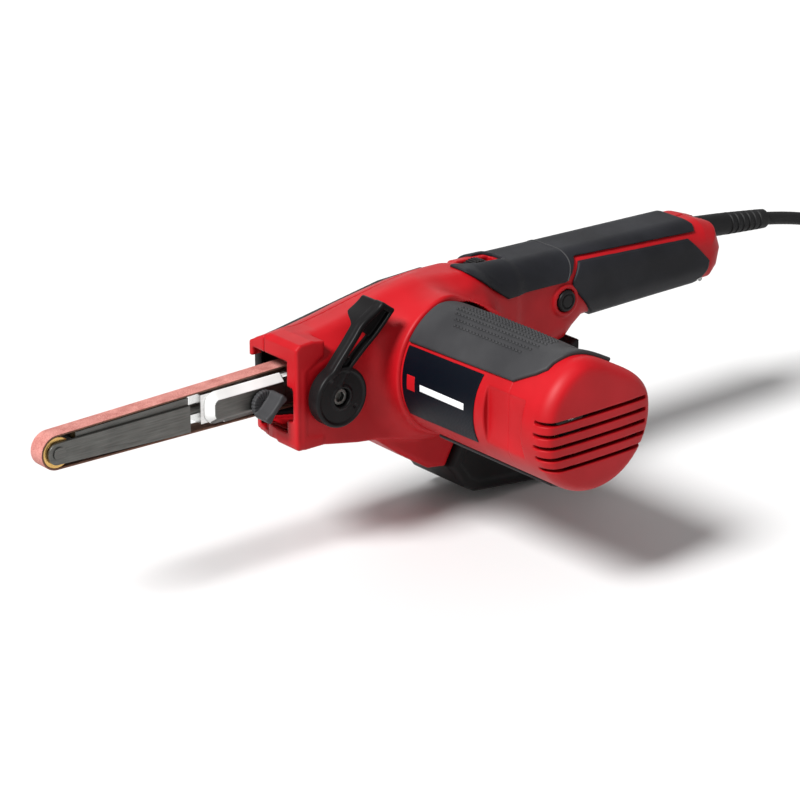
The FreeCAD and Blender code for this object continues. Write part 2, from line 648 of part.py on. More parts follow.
def make_arm_guide():
    """The block in the housing whose T slot the carrier's tongue slides in."""
    middle, gap = d.lever_z, d.slide_gap
    outer = box(158.0, 194.0, -22.5, -9.0, -12.0, 13.0)
    neck = box(150.0, 200.0, -15.0, -8.0, middle - 4.5 - gap, middle + 4.5 + gap)
    slot = box(150.0, 200.0, -20.0 - gap, -14.0 + gap, -7.5 - gap, 8.5 + gap)
    keep("arm_guide", cut(outer, neck, slot))


def make_release_lever():
    """The outside lever: a disc, an arm that leans back, and a wide tab over the body's top edge."""
    lean = math.radians(54)
    along = (math.cos(lean), math.sin(lean))
    across = (-math.sin(lean), math.cos(lean))

    def spot(reach, side):
        return (d.lever_x + reach * along[0] + side * across[0],
                d.lever_z + reach * along[1] + side * across[1])

    outer, inner = -34.5, -26.5
    reach = float(d.lever_reach)
    disc = cylinder(d.lever_radius, outer, inner, x=d.lever_x, z=d.lever_z)
    arm = plate([spot(0, -7), spot(0, 11), spot(reach, 3), spot(reach, -3)], outer, inner)
    tab = plate([spot(reach - 11, 0), spot(reach - 11, 3), spot(reach, 3), spot(reach, 0)], -27.0, -14.0)
    socket = cylinder(4.5, outer - 1, -29.0, x=d.lever_x, z=d.lever_z)
    keep("release_lever", cut(fuse(disc, arm, tab), socket))
    head = cylinder(4.4, -32.5, -29.0, x=d.lever_x, z=d.lever_z)
    keep("lever_screw", cut(head, cylinder(2.0, -33.0, -30.5, x=d.lever_x, z=d.lever_z)))


def make_release_cam():
    """A shaft with a spiral cam: its radius grows evenly, by cam_rise over a quarter turn."""
    small, rise = float(d.cam_radius), float(d.cam_rise)
    x, z = float(d.lever_x), float(d.lever_z)
    spiral = [(small + rise * step / 9, -math.radians(10 * step)) for step in range(10)]
    back = [(small, -math.radians(angle)) for angle in range(110, 360, 10)]
    corners = [Vector(x + r * math.cos(a), -12, z + r * math.sin(a)) for r, a in spiral + back]
    cam = Part.Face(Part.makePolygon(corners + corners[:1])).extrude(Vector(0, 4, 0))
    shaft = round_bar(d.shaft_radius, -26.5, -12, x, z)
    keep("release_cam", feature(cam.fuse(shaft)))


def make_tracking():
    """The tracking knob on the arm's near side, on its screw: a round flange with a tall grip wing."""
    x, z = 112.5, -2.5
    flange = cylinder(6.8, KNOB_NECK, PLATE_FACE - 0.2, x=x, z=z)
    long, thick = 7.6 * math.sqrt(0.5), 2.2 * math.sqrt(0.5)
    wing = plate([(x + long - thick, z + long + thick), (x + long + thick, z + long - thick),
                  (x - long + thick, z - long - thick), (x - long - thick, z - long + thick)],
                 KNOB_END, KNOB_NECK)
    keep("tracking_knob", cut(fuse(flange, wing), cylinder(2.55, KNOB_NECK + 0.2, -7.0, x=x, z=z)))
    keep("tracking_screw", cylinder(2.5, KNOB_NECK + 0.3, PLATE_FACE, x=x, z=z))


# ---------------------------------------------------------------- controls

def make_trigger():
    outline = [(322, -6.2), (390, -5.6), (397, -3), (397, 1.5), (392, 3.6), (386, 2.0), (376, -2.0),
               (322, 0.5)]
    hole = [(d.hinge_x, d.hinge_z, 1.55)]
    keep("trigger", plate(outline, -10.0, 10.0, hole))
    keep("trigger_pin", cylinder(1.5, -18.5, 18.5, x=d.hinge_x, z=d.hinge_z))
    keep("switch_module", box(330.0, 368.0, -9.0, 9.0, 6.0, 20.0))
    keep("trigger_spring", tube(3.0, 2.2, 0.5, 6.0, x=326.0, y=0.0, axis="Z"))


def make_lock_button():
    keep("lock_button", fuse(cylinder(d.button_radius, -22.5, -13.0, x=d.button_x, z=d.button_z),
                             cylinder(2.5, -13.0, -8.0, x=d.button_x, z=d.button_z)))


def make_speed_dial():
    centre = {"x": d.dial_x, "z": d.dial_z}
    keep("speed_dial", tube(d.dial_radius, 1.55, -3.0, 3.0, **centre))
    board = box(d.dial_x - 3, d.dial_x + 9, -8.0, 8.0, 8.0, 11.0)
    cheeks = [box(d.dial_x - 3, d.dial_x + 3, y, y + 1.5, 11.0, d.dial_z + 3) for y in (-5.0, 3.5)]
    keep("speed_module", fuse(board, *cheeks, cylinder(1.5, -4.0, 4.0, **centre)))


# ---------------------------------------------------------------- lead

LYING = float(d.cord_diameter) / 2 - float(d.tip_z)
COIL_CENTRE = (540.0, -128.0)
COIL_ENTRY = (585.0, -128.0, LYING)
CORD_ROUTE = [
    CORD_START, (481, -0.5, 11), (505, -3, 3), (528, -9, -11), (547, -20, -29), (561, -35, -49),
    (571, -53, -66), (578, -76, -78), (584, -101, LYING), COIL_ENTRY,
]
PLUG_ENTRY = (478.0, -168.0, 13.0 - float(d.tip_z))
TAIL_ROUTE = [(518, -167, -68.5), (499, -168, -70.5), PLUG_ENTRY]


def make_cord_sleeve():
    """The strain relief: a tapering sleeve that starts inside the handle's end."""
    start, end = Vector(*SLEEVE_START), Vector(*CORD_START)
    axis = end - start
    keep("cord_sleeve", feature(Part.makeCone(SLEEVE_RADIUS, 4.6, axis.Length, start, axis)))


def rounded_path(points):
    """Straight runs joined by tangent arcs, each arc as large as its two runs allow."""
    corners = [Vector(*point) for point in points]
    edges, start, radii = [], corners[0], []
    for before, corner, after in zip(corners, corners[1:], corners[2:]):
        into, out = corner - before, after - corner
        turn = into.getAngle(out)
        reach = 0.45 * min(into.Length, out.Length)
        radii.append(reach / math.tan(turn / 2))
        into.normalize()
        out.normalize()
        first, last = corner - into * reach, corner + out * reach
        sideways = out - into
        sideways.normalize()
        middle = corner + sideways * (radii[-1] / math.cos(turn / 2) - radii[-1])
        edges += [Part.LineSegment(start, first).toShape(), Part.Arc(first, middle, last).toShape()]
        start = last
    edges.append(Part.LineSegment(start, corners[-1]).toShape())
    return Part.Wire(edges), radii


def make_cord():
    """The lead between the sleeve and its coil, and the short tail from the coil to the plug."""
    radius = float(d.cord_diameter) / 2
    for node, route in (("cord", CORD_ROUTE), ("cord_tail", TAIL_ROUTE)):
        path, radii = rounded_path(route)
        direction = Vector(*route[1]) - Vector(*route[0])
        ring = Part.Wire(Part.makeCircle(radius, Vector(*route[0]), direction))
        lead = path.makePipeShell([ring], True, False)
        keep(node, feature(lead))
        ratio = lead.Volume / (math.pi * radius ** 2 * path.Length)
        print(node, "bend radii", [round(item, 1) for item in radii], "length", round(path.Length, 1),
              "volume ratio", round(ratio, 4))


def make_coil():
    """The put-away turns of the lead, as one ring that lies flat."""
    inner = float(d.coil_radius) - float(d.coil_width) / 2
    outer = float(d.coil_radius) + float(d.coil_width) / 2
    centre = Vector(*COIL_CENTRE, -float(d.tip_z))
    height = float(d.coil_height)
    ring = Part.makeCylinder(outer, height, centre).cut(Part.makeCylinder(inner, height, centre))
    keep("cord_coil", feature(ring))


def make_plug():
    """A two-pin contour plug lying on its side at the end of the lead, its pins pointing forward."""
    x, y, z = PLUG_ENTRY
    grip = Part.makeCone(6.0, 11.0, 26, Vector(x, y, z), Vector(-1, 0, 0))
    flange = Part.makeBox(14, 37, 26, Vector(x - 40, y - 18.5, z - 13))
    upright = [edge for edge in flange.Edges if abs(edge.Vertexes[0].X - edge.Vertexes[-1].X) > 1]
    flange = flange.makeFillet(9, upright)
    keep("plug_body", feature(flange.fuse(grip)))
    pins = [Part.makeCylinder(2.4, 19, Vector(x - 40, y + side, z), Vector(-1, 0, 0)) for side in (-9.5, 9.5)]
    keep("plug_pins", feature(Part.makeCompound(pins)))


# ---------------------------------------------------------------- checks and files

def check_document():
    doc.recompute()
    for item in doc.Objects:
        if "Invalid" in item.State or "Error" in item.State:
            raise RuntimeError(f"{item.Name} ({item.Label}) failed: {item.State}")
    for node, item in parts:
        shape = item.Shape
        if shape.isNull() or not shape.isValid() or not shape.Solids:
            raise RuntimeError(f"{node} has no valid solid")


def write_parts():
    os.makedirs("parts", exist_ok=True)
    for node, item in parts:
        item.Shape.exportStep(f"parts/{node}.step")
        extent = item.Shape.BoundBox
        print(f"{node:22s} solids {len(item.Shape.Solids)} X {extent.XMin:.1f} {extent.XMax:.1f} "
              f"Y {extent.YMin:.1f} {extent.YMax:.1f} Z {extent.ZMin:.1f} {extent.ZMax:.1f}")


def main():
    for make in (make_shells, make_housing_screws, make_belt_cover, make_motor_housing, make_end_cap,
                 make_handle_pads, make_dust_adapter, make_stator, make_armature, make_brushes,
                 make_bearings, make_bearing_supports, make_gears, make_drive_roller, make_tip_roller,
                 make_belt, make_fork, make_carrier, make_arm_guide, make_release_lever, make_release_cam,
                 make_tracking, make_trigger, make_lock_button, make_speed_dial, make_cord_sleeve,
                 make_cord, make_coil, make_plug):
        make()
    check_document()
    write_parts()


main()
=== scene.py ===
import json
import math

import bmesh
import bpy
import numpy as np
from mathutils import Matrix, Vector


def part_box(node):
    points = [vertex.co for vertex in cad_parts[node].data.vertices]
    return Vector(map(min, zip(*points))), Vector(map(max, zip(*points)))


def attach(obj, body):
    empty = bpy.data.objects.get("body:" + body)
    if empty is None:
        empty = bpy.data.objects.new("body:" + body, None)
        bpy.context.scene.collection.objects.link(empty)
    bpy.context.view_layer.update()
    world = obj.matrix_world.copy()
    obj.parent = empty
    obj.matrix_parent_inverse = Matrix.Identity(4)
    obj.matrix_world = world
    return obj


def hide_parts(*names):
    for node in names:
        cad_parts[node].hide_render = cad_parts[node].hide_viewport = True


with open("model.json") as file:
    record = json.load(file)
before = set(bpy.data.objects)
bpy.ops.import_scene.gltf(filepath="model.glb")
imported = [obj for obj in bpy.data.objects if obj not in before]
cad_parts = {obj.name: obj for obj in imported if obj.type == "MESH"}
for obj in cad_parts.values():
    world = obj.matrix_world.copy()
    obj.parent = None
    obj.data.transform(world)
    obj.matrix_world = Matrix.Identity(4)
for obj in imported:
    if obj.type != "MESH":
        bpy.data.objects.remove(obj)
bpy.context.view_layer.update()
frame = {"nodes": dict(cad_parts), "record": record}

MM = 0.001
ROLLER_LOW, ROLLER_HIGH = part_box("tip_roller")
TIP = (ROLLER_LOW + ROLLER_HIGH) / 2
FLOOR = -TIP.z / MM
COARSE = 1.0


def place(x, y, z):
    """A point given in millimetres from the tip roller's axis, in the row frame."""
    return TIP + Vector((x, y, z)) * MM


# ---- camera, light and floor

CAMERA_PLACE = place(-732.86, -1133.01, 546.69)
CAMERA_TURN = math.radians(50.4)
CAMERA_DROP = math.radians(21.3)
LENS = 144.0
NEAREST_SEEN = 0.01
KEY_POWER = 5.1
KEY_SPREAD = math.radians(20)
KEY_DIRECTION = Vector((1.22, 0.10, -1.40))
# (name, place, size, power): weak fills that soften the key's shadows
FILL_LIGHTS = [("side", Vector((0.55, -1.9, 0.80)), (1.2, 0.9), 1.5),
               ("back", Vector((0.9, 1.5, 1.1)), (1.1, 0.8), 4.0)]
FILL_AIM = Vector((0.0, 0.0, 0.08))
WORLD_STRENGTH = 0.38
FLOOR_REACH = 12.0


def make_camera():
    data = bpy.data.cameras.new("camera")
    data.lens = LENS
    data.clip_start = NEAREST_SEEN
    camera = bpy.data.objects.new("camera", data)
    forward = Vector((math.cos(CAMERA_TURN) * math.cos(CAMERA_DROP),
                      math.sin(CAMERA_TURN) * math.cos(CAMERA_DROP), -math.sin(CAMERA_DROP)))
    camera.rotation_euler = forward.to_track_quat("-Z", "Y").to_euler()
    camera.location = CAMERA_PLACE
    bpy.context.scene.collection.objects.link(camera)
    bpy.context.scene.camera = camera


def area_light(name, spot, size, power):
    data = bpy.data.lights.new(name, "AREA")
    data.shape = "RECTANGLE"
    data.size, data.size_y = size
    data.energy = power
    light = bpy.data.objects.new(name, data)
    light.location = spot
    light.rotation_euler = (FILL_AIM - spot).to_track_quat("-Z", "Y").to_euler()
    bpy.context.scene.collection.objects.link(light)


def make_studio():
    sun = bpy.data.lights.new("key", "SUN")
    sun.energy = KEY_POWER
    sun.angle = KEY_SPREAD
    key = bpy.data.objects.new("key", sun)
    key.rotation_euler = KEY_DIRECTION.to_track_quat("-Z", "Y").to_euler()
    bpy.context.scene.collection.objects.link(key)
    for name, spot, size, power in FILL_LIGHTS:
        area_light(name, spot, size, power)
    world = bpy.data.worlds.new("studio")
    world.use_nodes = True
    background = world.node_tree.nodes["Background"]
    background.inputs["Color"].default_value = (1.0, 1.0, 1.0, 1.0)
    background.inputs["Strength"].default_value = WORLD_STRENGTH
    bpy.context.scene.world = world
    bpy.context.scene.view_settings.view_transform = "Standard"
    make_floor()


def make_floor():
    mesh = bpy.data.meshes.new("floor")
    reach = FLOOR_REACH
    mesh.from_pydata([(-reach, -reach, 0), (reach, -reach, 0), (reach, reach, 0), (-reach, reach, 0)], [],
                     [(0, 1, 2, 3)])
    mesh.materials.append(finish_floor())
    floor = bpy.data.objects.new("floor", mesh)
    bpy.context.scene.collection.objects.link(floor)


# ---- material helpers

class Finish:
    """A node material: a principled surface whose colour, roughness and relief come from procedural nodes."""

    def __init__(self, name, metallic=0.0, specular=0.5, coat=0.0):
        self.material = bpy.data.materials.new(name)
        self.material.use_nodes = True
        self.tree = self.material.node_tree
        self.surface = self.tree.nodes["Principled BSDF"]
        self.surface.inputs["Metallic"].default_value = metallic
        self.surface.inputs["Specular IOR Level"].default_value = specular
        self.surface.inputs["Coat Weight"].default_value = coat
        self.place = self.tree.nodes.new("ShaderNodeTexCoord").outputs["Object"]

    def feed(self, socket, item):
        """Link another node's output into a socket, or set the socket to a plain value."""
        if isinstance(item, bpy.types.NodeSocket):
            self.tree.links.new(item, socket)
        else:
            socket.default_value = item

    def node(self, kind, output, **inputs):
        """Add a node, feed the named inputs, and give back one of its outputs."""
        made = self.tree.nodes.new(kind)
        for key, item in inputs.items():
            self.feed(made.inputs[key.replace("_", " ")], item)
        return made.outputs[output]

    def scaled(self, grains):
        """Object coordinates with so many grains to the metre; three numbers give each axis its own."""
        scale = grains if isinstance(grains, tuple) else (grains, grains, grains)
        return self.node("ShaderNodeMapping", "Vector", Vector=self.place, Scale=scale)

    def noise(self, grains, detail=2.0):
        return self.node("ShaderNodeTexNoise", "Fac", Vector=self.scaled(grains), Scale=1.0, Detail=detail)

    def wave(self, scale, distortion):
        return self.node("ShaderNodeTexWave", "Fac", Vector=self.scaled(1.0), Scale=scale,
                         Distortion=distortion)

    def ramp(self, value, low, high, stops=(0.35, 0.65)):
        """A colour between low and high; stops are the values where each is reached."""
        colour = self.node("ShaderNodeValToRGB", "Color", Fac=value)
        first, last = colour.node.color_ramp.elements
        first.position, last.position = stops
        first.color, last.color = (*low, 1.0), (*high, 1.0)
        return colour

    def span(self, value, low, high):
        """The value from 0 to 1 mapped onto low to high."""
        return self.node("ShaderNodeMapRange", "Result", Value=value, To_Min=low, To_Max=high)

    def math(self, operation, first, second):
        made = self.tree.nodes.new("ShaderNodeMath")
        made.operation = operation
        for socket, item in zip(made.inputs, (first, second)):
            self.feed(socket, item)
        return made.outputs[0]

    def mixed(self, first, share, second, rest):
        """Two values added up, each with its own weight."""
        return self.math("ADD", self.math("MULTIPLY", first, share), self.math("MULTIPLY", second, rest))

    def colour(self, source):
        self.tree.links.new(source, self.surface.inputs["Base Color"])

    def roughness(self, source):
        self.tree.links.new(source, self.surface.inputs["Roughness"])

    def bump(self, height, strength, distance):
        relief = self.node("ShaderNodeBump", "Normal", Height=height, Strength=strength, Distance=distance)
        self.tree.links.new(relief, self.surface.inputs["Normal"])


def moulded(name, dark, light, rough, grain, depth, specular=0.5):
    """Moulded plastic or rubber: a slow tint change, spark-eroded grain and uneven gloss."""
    finish = Finish(name, specular=specular)
    finish.colour(finish.ramp(finish.noise(35.0, detail=3.0), dark, light))
    fine = finish.noise(grain)
    wide = finish.noise(120.0)
    finish.roughness(finish.span(finish.mixed(fine, 0.5, wide, 0.5), *rough))
    finish.bump(fine, 0.35, depth)
    return finish.material


def metal(name, dark, light, rough, streak):
    """Metal with fine grinding marks and a few faint stains; streak holds the grain along X, Y and Z."""
    finish = Finish(name, metallic=1.0)
    lines = finish.noise(streak, detail=3.0)
    stain = finish.noise(90.0, detail=4.0)
    mixed = finish.mixed(lines, 0.6, stain, 0.4)
    finish.colour(finish.ramp(mixed, dark, light, (0.3, 0.7)))
    finish.roughness(finish.span(mixed, *rough))
    finish.bump(lines, 0.3, 0.00002)
    return finish.material


def finish_floor():
    finish = Finish("studio_floor", specular=0.2)
    slow = finish.noise(0.8, detail=1.0)
    finish.colour(finish.ramp(slow, (0.66, 0.657, 0.655), (0.68, 0.68, 0.68)))
    finish.roughness(finish.span(slow, 0.6, 0.7))
    return finish.material


def finish_label():
    """Dark satin film, with a faint checked pattern that fades in towards its lower rear corner."""
    finish = Finish("label_film", specular=0.12)
    squares = finish.node("ShaderNodeTexChecker", "Fac", Vector=finish.scaled(900.0), Scale=1.0,
                          Color1=(0.0, 0.0, 0.0, 1.0), Color2=(1.0, 1.0, 1.0, 1.0))
    corner = place(176.0, -84.0, -14.0)
    along, down = (finish.node("ShaderNodeMapRange", "Result", From_Min=edge + width, From_Max=edge,
                               Value=finish.node("ShaderNodeSeparateXYZ", axis, Vector=finish.place),
                               To_Min=0.0, To_Max=1.0)
                   for axis, edge, width in (("Y", corner.y, 0.022), ("Z", corner.z, 0.018)))
    fade = finish.math("MULTIPLY", along, down)
    tone = finish.mixed(finish.math("MULTIPLY", squares, fade), 0.9, fade, 0.25)
    finish.colour(finish.ramp(tone, (0.0010, 0.0024, 0.0056), (0.013, 0.015, 0.019), (0.0, 1.0)))
    finish.roughness(finish.span(finish.noise(400.0), 0.36, 0.48))
    finish.bump(squares, 0.05, 0.00002)
    return finish.material


def finish_grit():
    """Coated abrasive: packed grains in a red-brown resin, with paler worn patches."""
    finish = Finish("abrasive_grit", specular=0.35)
    grain = finish.node("ShaderNodeTexVoronoi", "Distance", Vector=finish.scaled(3200.0), Scale=1.0)
    patch = finish.noise(160.0, detail=4.0)
    speck = finish.noise(2500.0)
    mixed = finish.mixed(speck, 0.65, patch, 0.35)
    finish.colour(finish.ramp(mixed, (0.30, 0.085, 0.07), (0.66, 0.30, 0.26), (0.35, 0.68)))
    finish.roughness(finish.span(speck, 0.7, 0.95))
    finish.bump(grain, 0.8, 0.00012)
    return finish.material


def finish_cloth():
    """The belt's cloth backing: a fine twill under a thin size coat."""
    finish = Finish("belt_backing", specular=0.3)
    weave = finish.wave(420.0, 0.6)
    patch = finish.noise(200.0, detail=3.0)
    finish.colour(finish.ramp(finish.math("MULTIPLY", weave, patch), (0.10, 0.045, 0.03), (0.27, 0.14, 0.095),
                              (0.1, 0.6)))
    finish.roughness(finish.span(patch, 0.75, 0.9))
    finish.bump(weave, 0.4, 0.00008)
    return finish.material


def finish_windings():
    """Lacquered copper wire, laid side by side round the motor's axis."""
    finish = Finish("copper_windings", metallic=1.0, coat=0.4)
    wires = finish.wave(450.0, 1.5)
    finish.colour(finish.ramp(wires, (0.32, 0.10, 0.035), (0.78, 0.34, 0.15), (0.2, 0.8)))
    finish.roughness(finish.span(wires, 0.25, 0.4))
    finish.bump(wires, 0.7, 0.0002)
    return finish.material


RED = moulded("red_plastic", (0.34, 0.0028, 0.0060), (0.41, 0.0045, 0.0090), (0.42, 0.54), 2600.0, 0.00006,
              specular=0.2)
DARK_RUBBER = moulded("dark_rubber", (0.022, 0.022, 0.024), (0.036, 0.036, 0.038), (0.5, 0.68),
                      2200.0, 0.00012, specular=0.25)
GRIP_RUBBER = moulded("grip_rubber", (0.0075, 0.0078, 0.010), (0.014, 0.0145, 0.018), (0.46, 0.62),
                      2400.0, 0.0001, specular=0.18)
BLACK_PLASTIC = moulded("black_plastic", (0.0042, 0.0038, 0.0042), (0.008, 0.0073, 0.0077), (0.36, 0.52),
                        2600.0, 0.00006, specular=0.17)
CORD_RUBBER = moulded("cord_rubber", (0.006, 0.006, 0.0065), (0.011, 0.011, 0.0115), (0.5, 0.66),
                      1800.0, 0.00008, specular=0.2)
BRIGHT_STEEL = metal("bright_steel", (0.62, 0.62, 0.61), (0.86, 0.86, 0.85), (0.16, 0.3),
                     (60.0, 2600.0, 2600.0))
DARK_STEEL = metal("dark_steel", (0.09, 0.09, 0.085), (0.17, 0.17, 0.16), (0.34, 0.5), (80.0, 1600.0, 1600.0))
ALUMINIUM = metal("aluminium", (0.50, 0.50, 0.51), (0.68, 0.68, 0.69), (0.4, 0.6), (700.0, 700.0, 700.0))
BRASS = metal("brass", (0.55, 0.32, 0.09), (0.80, 0.53, 0.20), (0.2, 0.35), (1800.0, 120.0, 1800.0))
ZINC = metal("zinc", (0.42, 0.42, 0.41), (0.62, 0.62, 0.60), (0.25, 0.42), (900.0, 900.0, 900.0))
CARBON = moulded("carbon", (0.012, 0.012, 0.012), (0.03, 0.03, 0.03), (0.5, 0.7), 1500.0, 0.0001)
LABEL = finish_label()
# a pale grey painted highlight, given to the carrier plate's faces that turn up or forwards towards the key
# light
HIGHLIGHT_STEEL = moulded("painted_highlight_steel", (0.60, 0.60, 0.59), (0.78, 0.78, 0.77), (0.3, 0.44), 2600.0, 0.00002)
LABEL_PALE = moulded("label_pale", (0.62, 0.63, 0.64), (0.74, 0.75, 0.76), (0.25, 0.4), 1500.0, 0.00002)
GRIT = finish_grit()
BACKING = finish_cloth()
COPPER = finish_windings()
SLOT_FINISH = {
    "red_plastic": RED, "dark_rubber": DARK_RUBBER, "black_plastic": BLACK_PLASTIC, "label_film": LABEL,
    "bright_steel": BRIGHT_STEEL, "dark_steel": DARK_STEEL, "aluminium": ALUMINIUM, "brass": BRASS,
    "copper_wire": COPPER, "carbon": CARBON, "abrasive_cloth": GRIT, "cord_rubber": CORD_RUBBER,
    "zinc_screw": ZINC,
}


# ---- piece helpers

def piece(name, mesh, body, slot, replaced=(), material=None):
    """Link a finished mesh as a piece that rides on a CAD body."""
    thing = bpy.data.objects.new(name, mesh)
    bpy.context.scene.collection.objects.link(thing)
    if not mesh.materials:
        mesh.materials.append(material or SLOT_FINISH[slot])
    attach(thing, body)
    if replaced:
        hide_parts(*replaced)
    return thing


def dense_mesh(name, points, faces):
    """A smooth-shaded mesh from arrays: points in millimetres from the tip roller's axis, and quads."""
    mesh = bpy.data.meshes.new(name)
    placed = points * MM + np.array(TIP)
    mesh.vertices.add(len(points))
    mesh.vertices.foreach_set("co", placed.astype(np.float32).ravel())
    mesh.loops.add(faces.size)
    mesh.loops.foreach_set("vertex_index", faces.astype(np.int32).ravel())
    mesh.polygons.add(len(faces))
    mesh.polygons.foreach_set("loop_start", np.arange(0, faces.size, faces.shape[1], dtype=np.int32))
    mesh.update(calc_edges=True)
    mesh.validate()
    mesh.shade_smooth()
    return mesh


CORNERS = [(i, j, k) for i in (0, 1) for j in (0, 1) for k in (0, 1)]
CELL_EDGES = [(a, b) for a in CORNERS for b in CORNERS
              if sum(b) - sum(a) == 1 and all(p <= q for p, q in zip(a, b))]


def net_points(field, values, low, cell):
    """One point in each grid cell that the surface passes through, then drawn onto the surface itself."""
    inside = values < 0
    nx, ny, nz = (size - 1 for size in values.shape)
    count = sum(inside[i:nx + i, j:ny + j, k:nz + k].astype(np.uint8) for i, j, k in CORNERS)
    active = (count > 0) & (count < 8)
    index = np.full(active.shape, -1, np.int32)
    index[active] = np.arange(int(active.sum()))
    spots = np.stack(np.nonzero(active), axis=1)
    total = np.zeros(spots.shape)
    hits = np.zeros(len(spots))
    for first, last in CELL_EDGES:
        start = values[tuple((spots + first).T)]
        end = values[tuple((spots + last).T)]
        crossing = (start < 0) != (end < 0)
        share = np.where(crossing, start / np.where(crossing, start - end, 1.0), 0.0)
        along = np.array(first) + share[:, None] * (np.array(last) - np.array(first))
        total += along * crossing[:, None]
        hits += crossing
    points = np.array(low) + cell * (spots + total / hits[:, None])
    step = 0.2 * cell
    x, y, z = points.T
    slope = np.stack([(field(x + step, y, z) - field(x - step, y, z)) / (2 * step),
                      (field(x, y + step, z) - field(x, y - step, z)) / (2 * step),
                      (field(x, y, z + step) - field(x, y, z - step)) / (2 * step)], axis=1)
    steep = np.maximum((slope ** 2).sum(axis=1), 0.25)
    move = field(x, y, z)[:, None] * slope / steep[:, None]
    return points - np.clip(move, -0.45 * cell, 0.45 * cell), index, inside


def net_faces(index, inside):
    """A quad for each grid edge that crosses the surface, facing out."""
    faces = []
    for axis in range(3):
        u, v = [other for other in range(3) if other != axis]
        size = inside.shape[axis]
        first = inside.take(range(size - 1), axis)
        change = first != inside.take(range(1, size), axis)
        edges = np.argwhere(change)
        edges = edges[(edges[:, u] > 0) & (edges[:, v] > 0)
                      & (edges[:, u] < inside.shape[u] - 1) & (edges[:, v] < inside.shape[v] - 1)]
        corners = []
        for du, dv in ((0, 0), (1, 0), (1, 1), (0, 1)):
            spot = edges.copy()
            spot[:, u] -= du
            spot[:, v] -= dv
            corners.append(index[tuple(spot.T)])
        quads = np.stack(corners, axis=1)
        turn = first[tuple(edges.T)] == (axis == 1)
        quads[turn] = quads[turn][:, ::-1]
        faces.append(quads)
    return np.concatenate(faces)


def modelled(name, field, low, high, cell, lay=None):
    """The surface where a distance field is zero, as a mesh of quads; lay can move the finished points."""
    cell = cell * COARSE
    low = np.array(low, float) - 2 * cell
    counts = np.ceil((np.array(high, float) + 2 * cell - low) / cell).astype(int) + 1
    x, y, z = (low[axis] + cell * np.arange(counts[axis]) for axis in range(3))
    values = field(x[:, None, None], y[None, :, None], z[None, None, :])
    values = np.array(np.broadcast_to(values, counts), dtype=np.float32)
    values[values == 0] = 1e-6
    points, index, inside = net_points(field, values, low, cell)
    if lay is not None:
        points = lay(points)
    return dense_mesh(name, points, net_faces(index, inside))


def shaped(name, field, low, high, cell, body, slot, replaced=(), material=None):
    """Model a distance field inside a box and make it a piece."""
    return piece(name, modelled(name, field, low, high, cell), body, slot, replaced, material)


def merged(name, parts):
    """One mesh from (mesh, material slot) pairs; the separate meshes are freed."""
    shape = bmesh.new()
    for mesh, slot in parts:
        before = len(shape.faces)
        shape.from_mesh(mesh)
        shape.faces.ensure_lookup_table()
        for face in shape.faces[before:]:
            face.material_index = slot
        bpy.data.meshes.remove(mesh)
    joined = bpy.data.meshes.new(name)
    shape.to_mesh(joined)
    shape.free()
    return joined


# ---- distance fields, in millimetres
# A field is below zero inside its shape; blend and edge are rounding radii.

def join(a, b, blend=0.0):
    if blend <= 0:
        return np.minimum(a, b)
    share = np.clip(0.5 + 0.5 * (b - a) / blend, 0.0, 1.0)
    return b + (a - b) * share - blend * share * (1.0 - share)


def keep_both(a, b, blend=0.0):
    return -join(-a, -b, blend)


def carve(a, b, blend=0.0):
    return keep_both(a, -b, blend)


def span(u, start, end):
    return np.abs(u - (start + end) / 2) - (end - start) / 2


def outline(u, v, corners):
    """Signed distance to a polygon in a plane."""
    nearest = None
    sign = 1.0
    for (u0, v0), (u1, v1) in zip(corners, corners[1:] + corners[:1]):
        eu, ev = u1 - u0, v1 - v0
        du, dv = u - u0, v - v0
        along = np.clip((du * eu + dv * ev) / (eu * eu + ev * ev), 0.0, 1.0)
        away = (du - eu * along) ** 2 + (dv - ev * along) ** 2
        nearest = away if nearest is None else np.minimum(nearest, away)
        over, under, left = v >= v0, v < v1, eu * dv > ev * du
        flip = (over & under & left) | (~over & ~under & ~left)
        sign = np.where(flip, -sign, sign)
    return sign * np.sqrt(nearest)


def drawn(flat, depth, edge):
    """A flat shape drawn out to a depth, with its edges rounded."""
    u, v = flat + edge, depth + edge
    return np.minimum(np.maximum(u, v), 0.0) + np.hypot(np.maximum(u, 0.0), np.maximum(v, 0.0)) - edge


def block(x, y, z, x0, x1, y0, y1, z0, z1, edge):
    return drawn(drawn(span(x, x0, x1), span(z, z0, z1), edge), span(y, y0, y1), edge)


def disc(x, y, z, cx, cz, radius, y0, y1, edge=0.0):
    return drawn(np.hypot(x - cx, z - cz) - radius, span(y, y0, y1), edge)


def half(field, side, gap=0.0):
    """The share of a field on one side of the parting plane: side is -1 near and 1 far."""
    return lambda x, y, z: np.maximum(field(x, y, z), gap - side * y)


def leaning(x, z, cx, cz, angle):
    """Distances from a centre, along and across a line that leans up from X by an angle."""
    along = (x - cx) * math.cos(angle) + (z - cz) * math.sin(angle)
    across = (z - cz) * math.cos(angle) - (x - cx) * math.sin(angle)
    return along, across


def ease(value, start, end):
    """Rises smoothly from 0 at start to 1 at end."""
    share = np.clip((value - start) / (end - start), 0.0, 1.0)
    return share * share * (3.0 - 2.0 * share)


# ---- the lead

# places in millimetres from the tip roller's axis, as the part's own route has them
CORD_RADIUS = 3.5
LYING = CORD_RADIUS + FLOOR
SLEEVE_START = (404.0, 0.0, 20.8)
CORD_START = (457.0, 0.0, 15.0)
CORD_ROUTE = [CORD_START, (481, -0.5, 11), (505, -3, 3), (528, -9, -11), (547, -20, -29), (561, -35, -49),
              (571, -53, -66), (578, -76, -78), (584, -101, LYING)]
COIL_CENTRE = (540.0, -128.0)
COIL_STEPS = 18
COIL_TURNS = 6.27
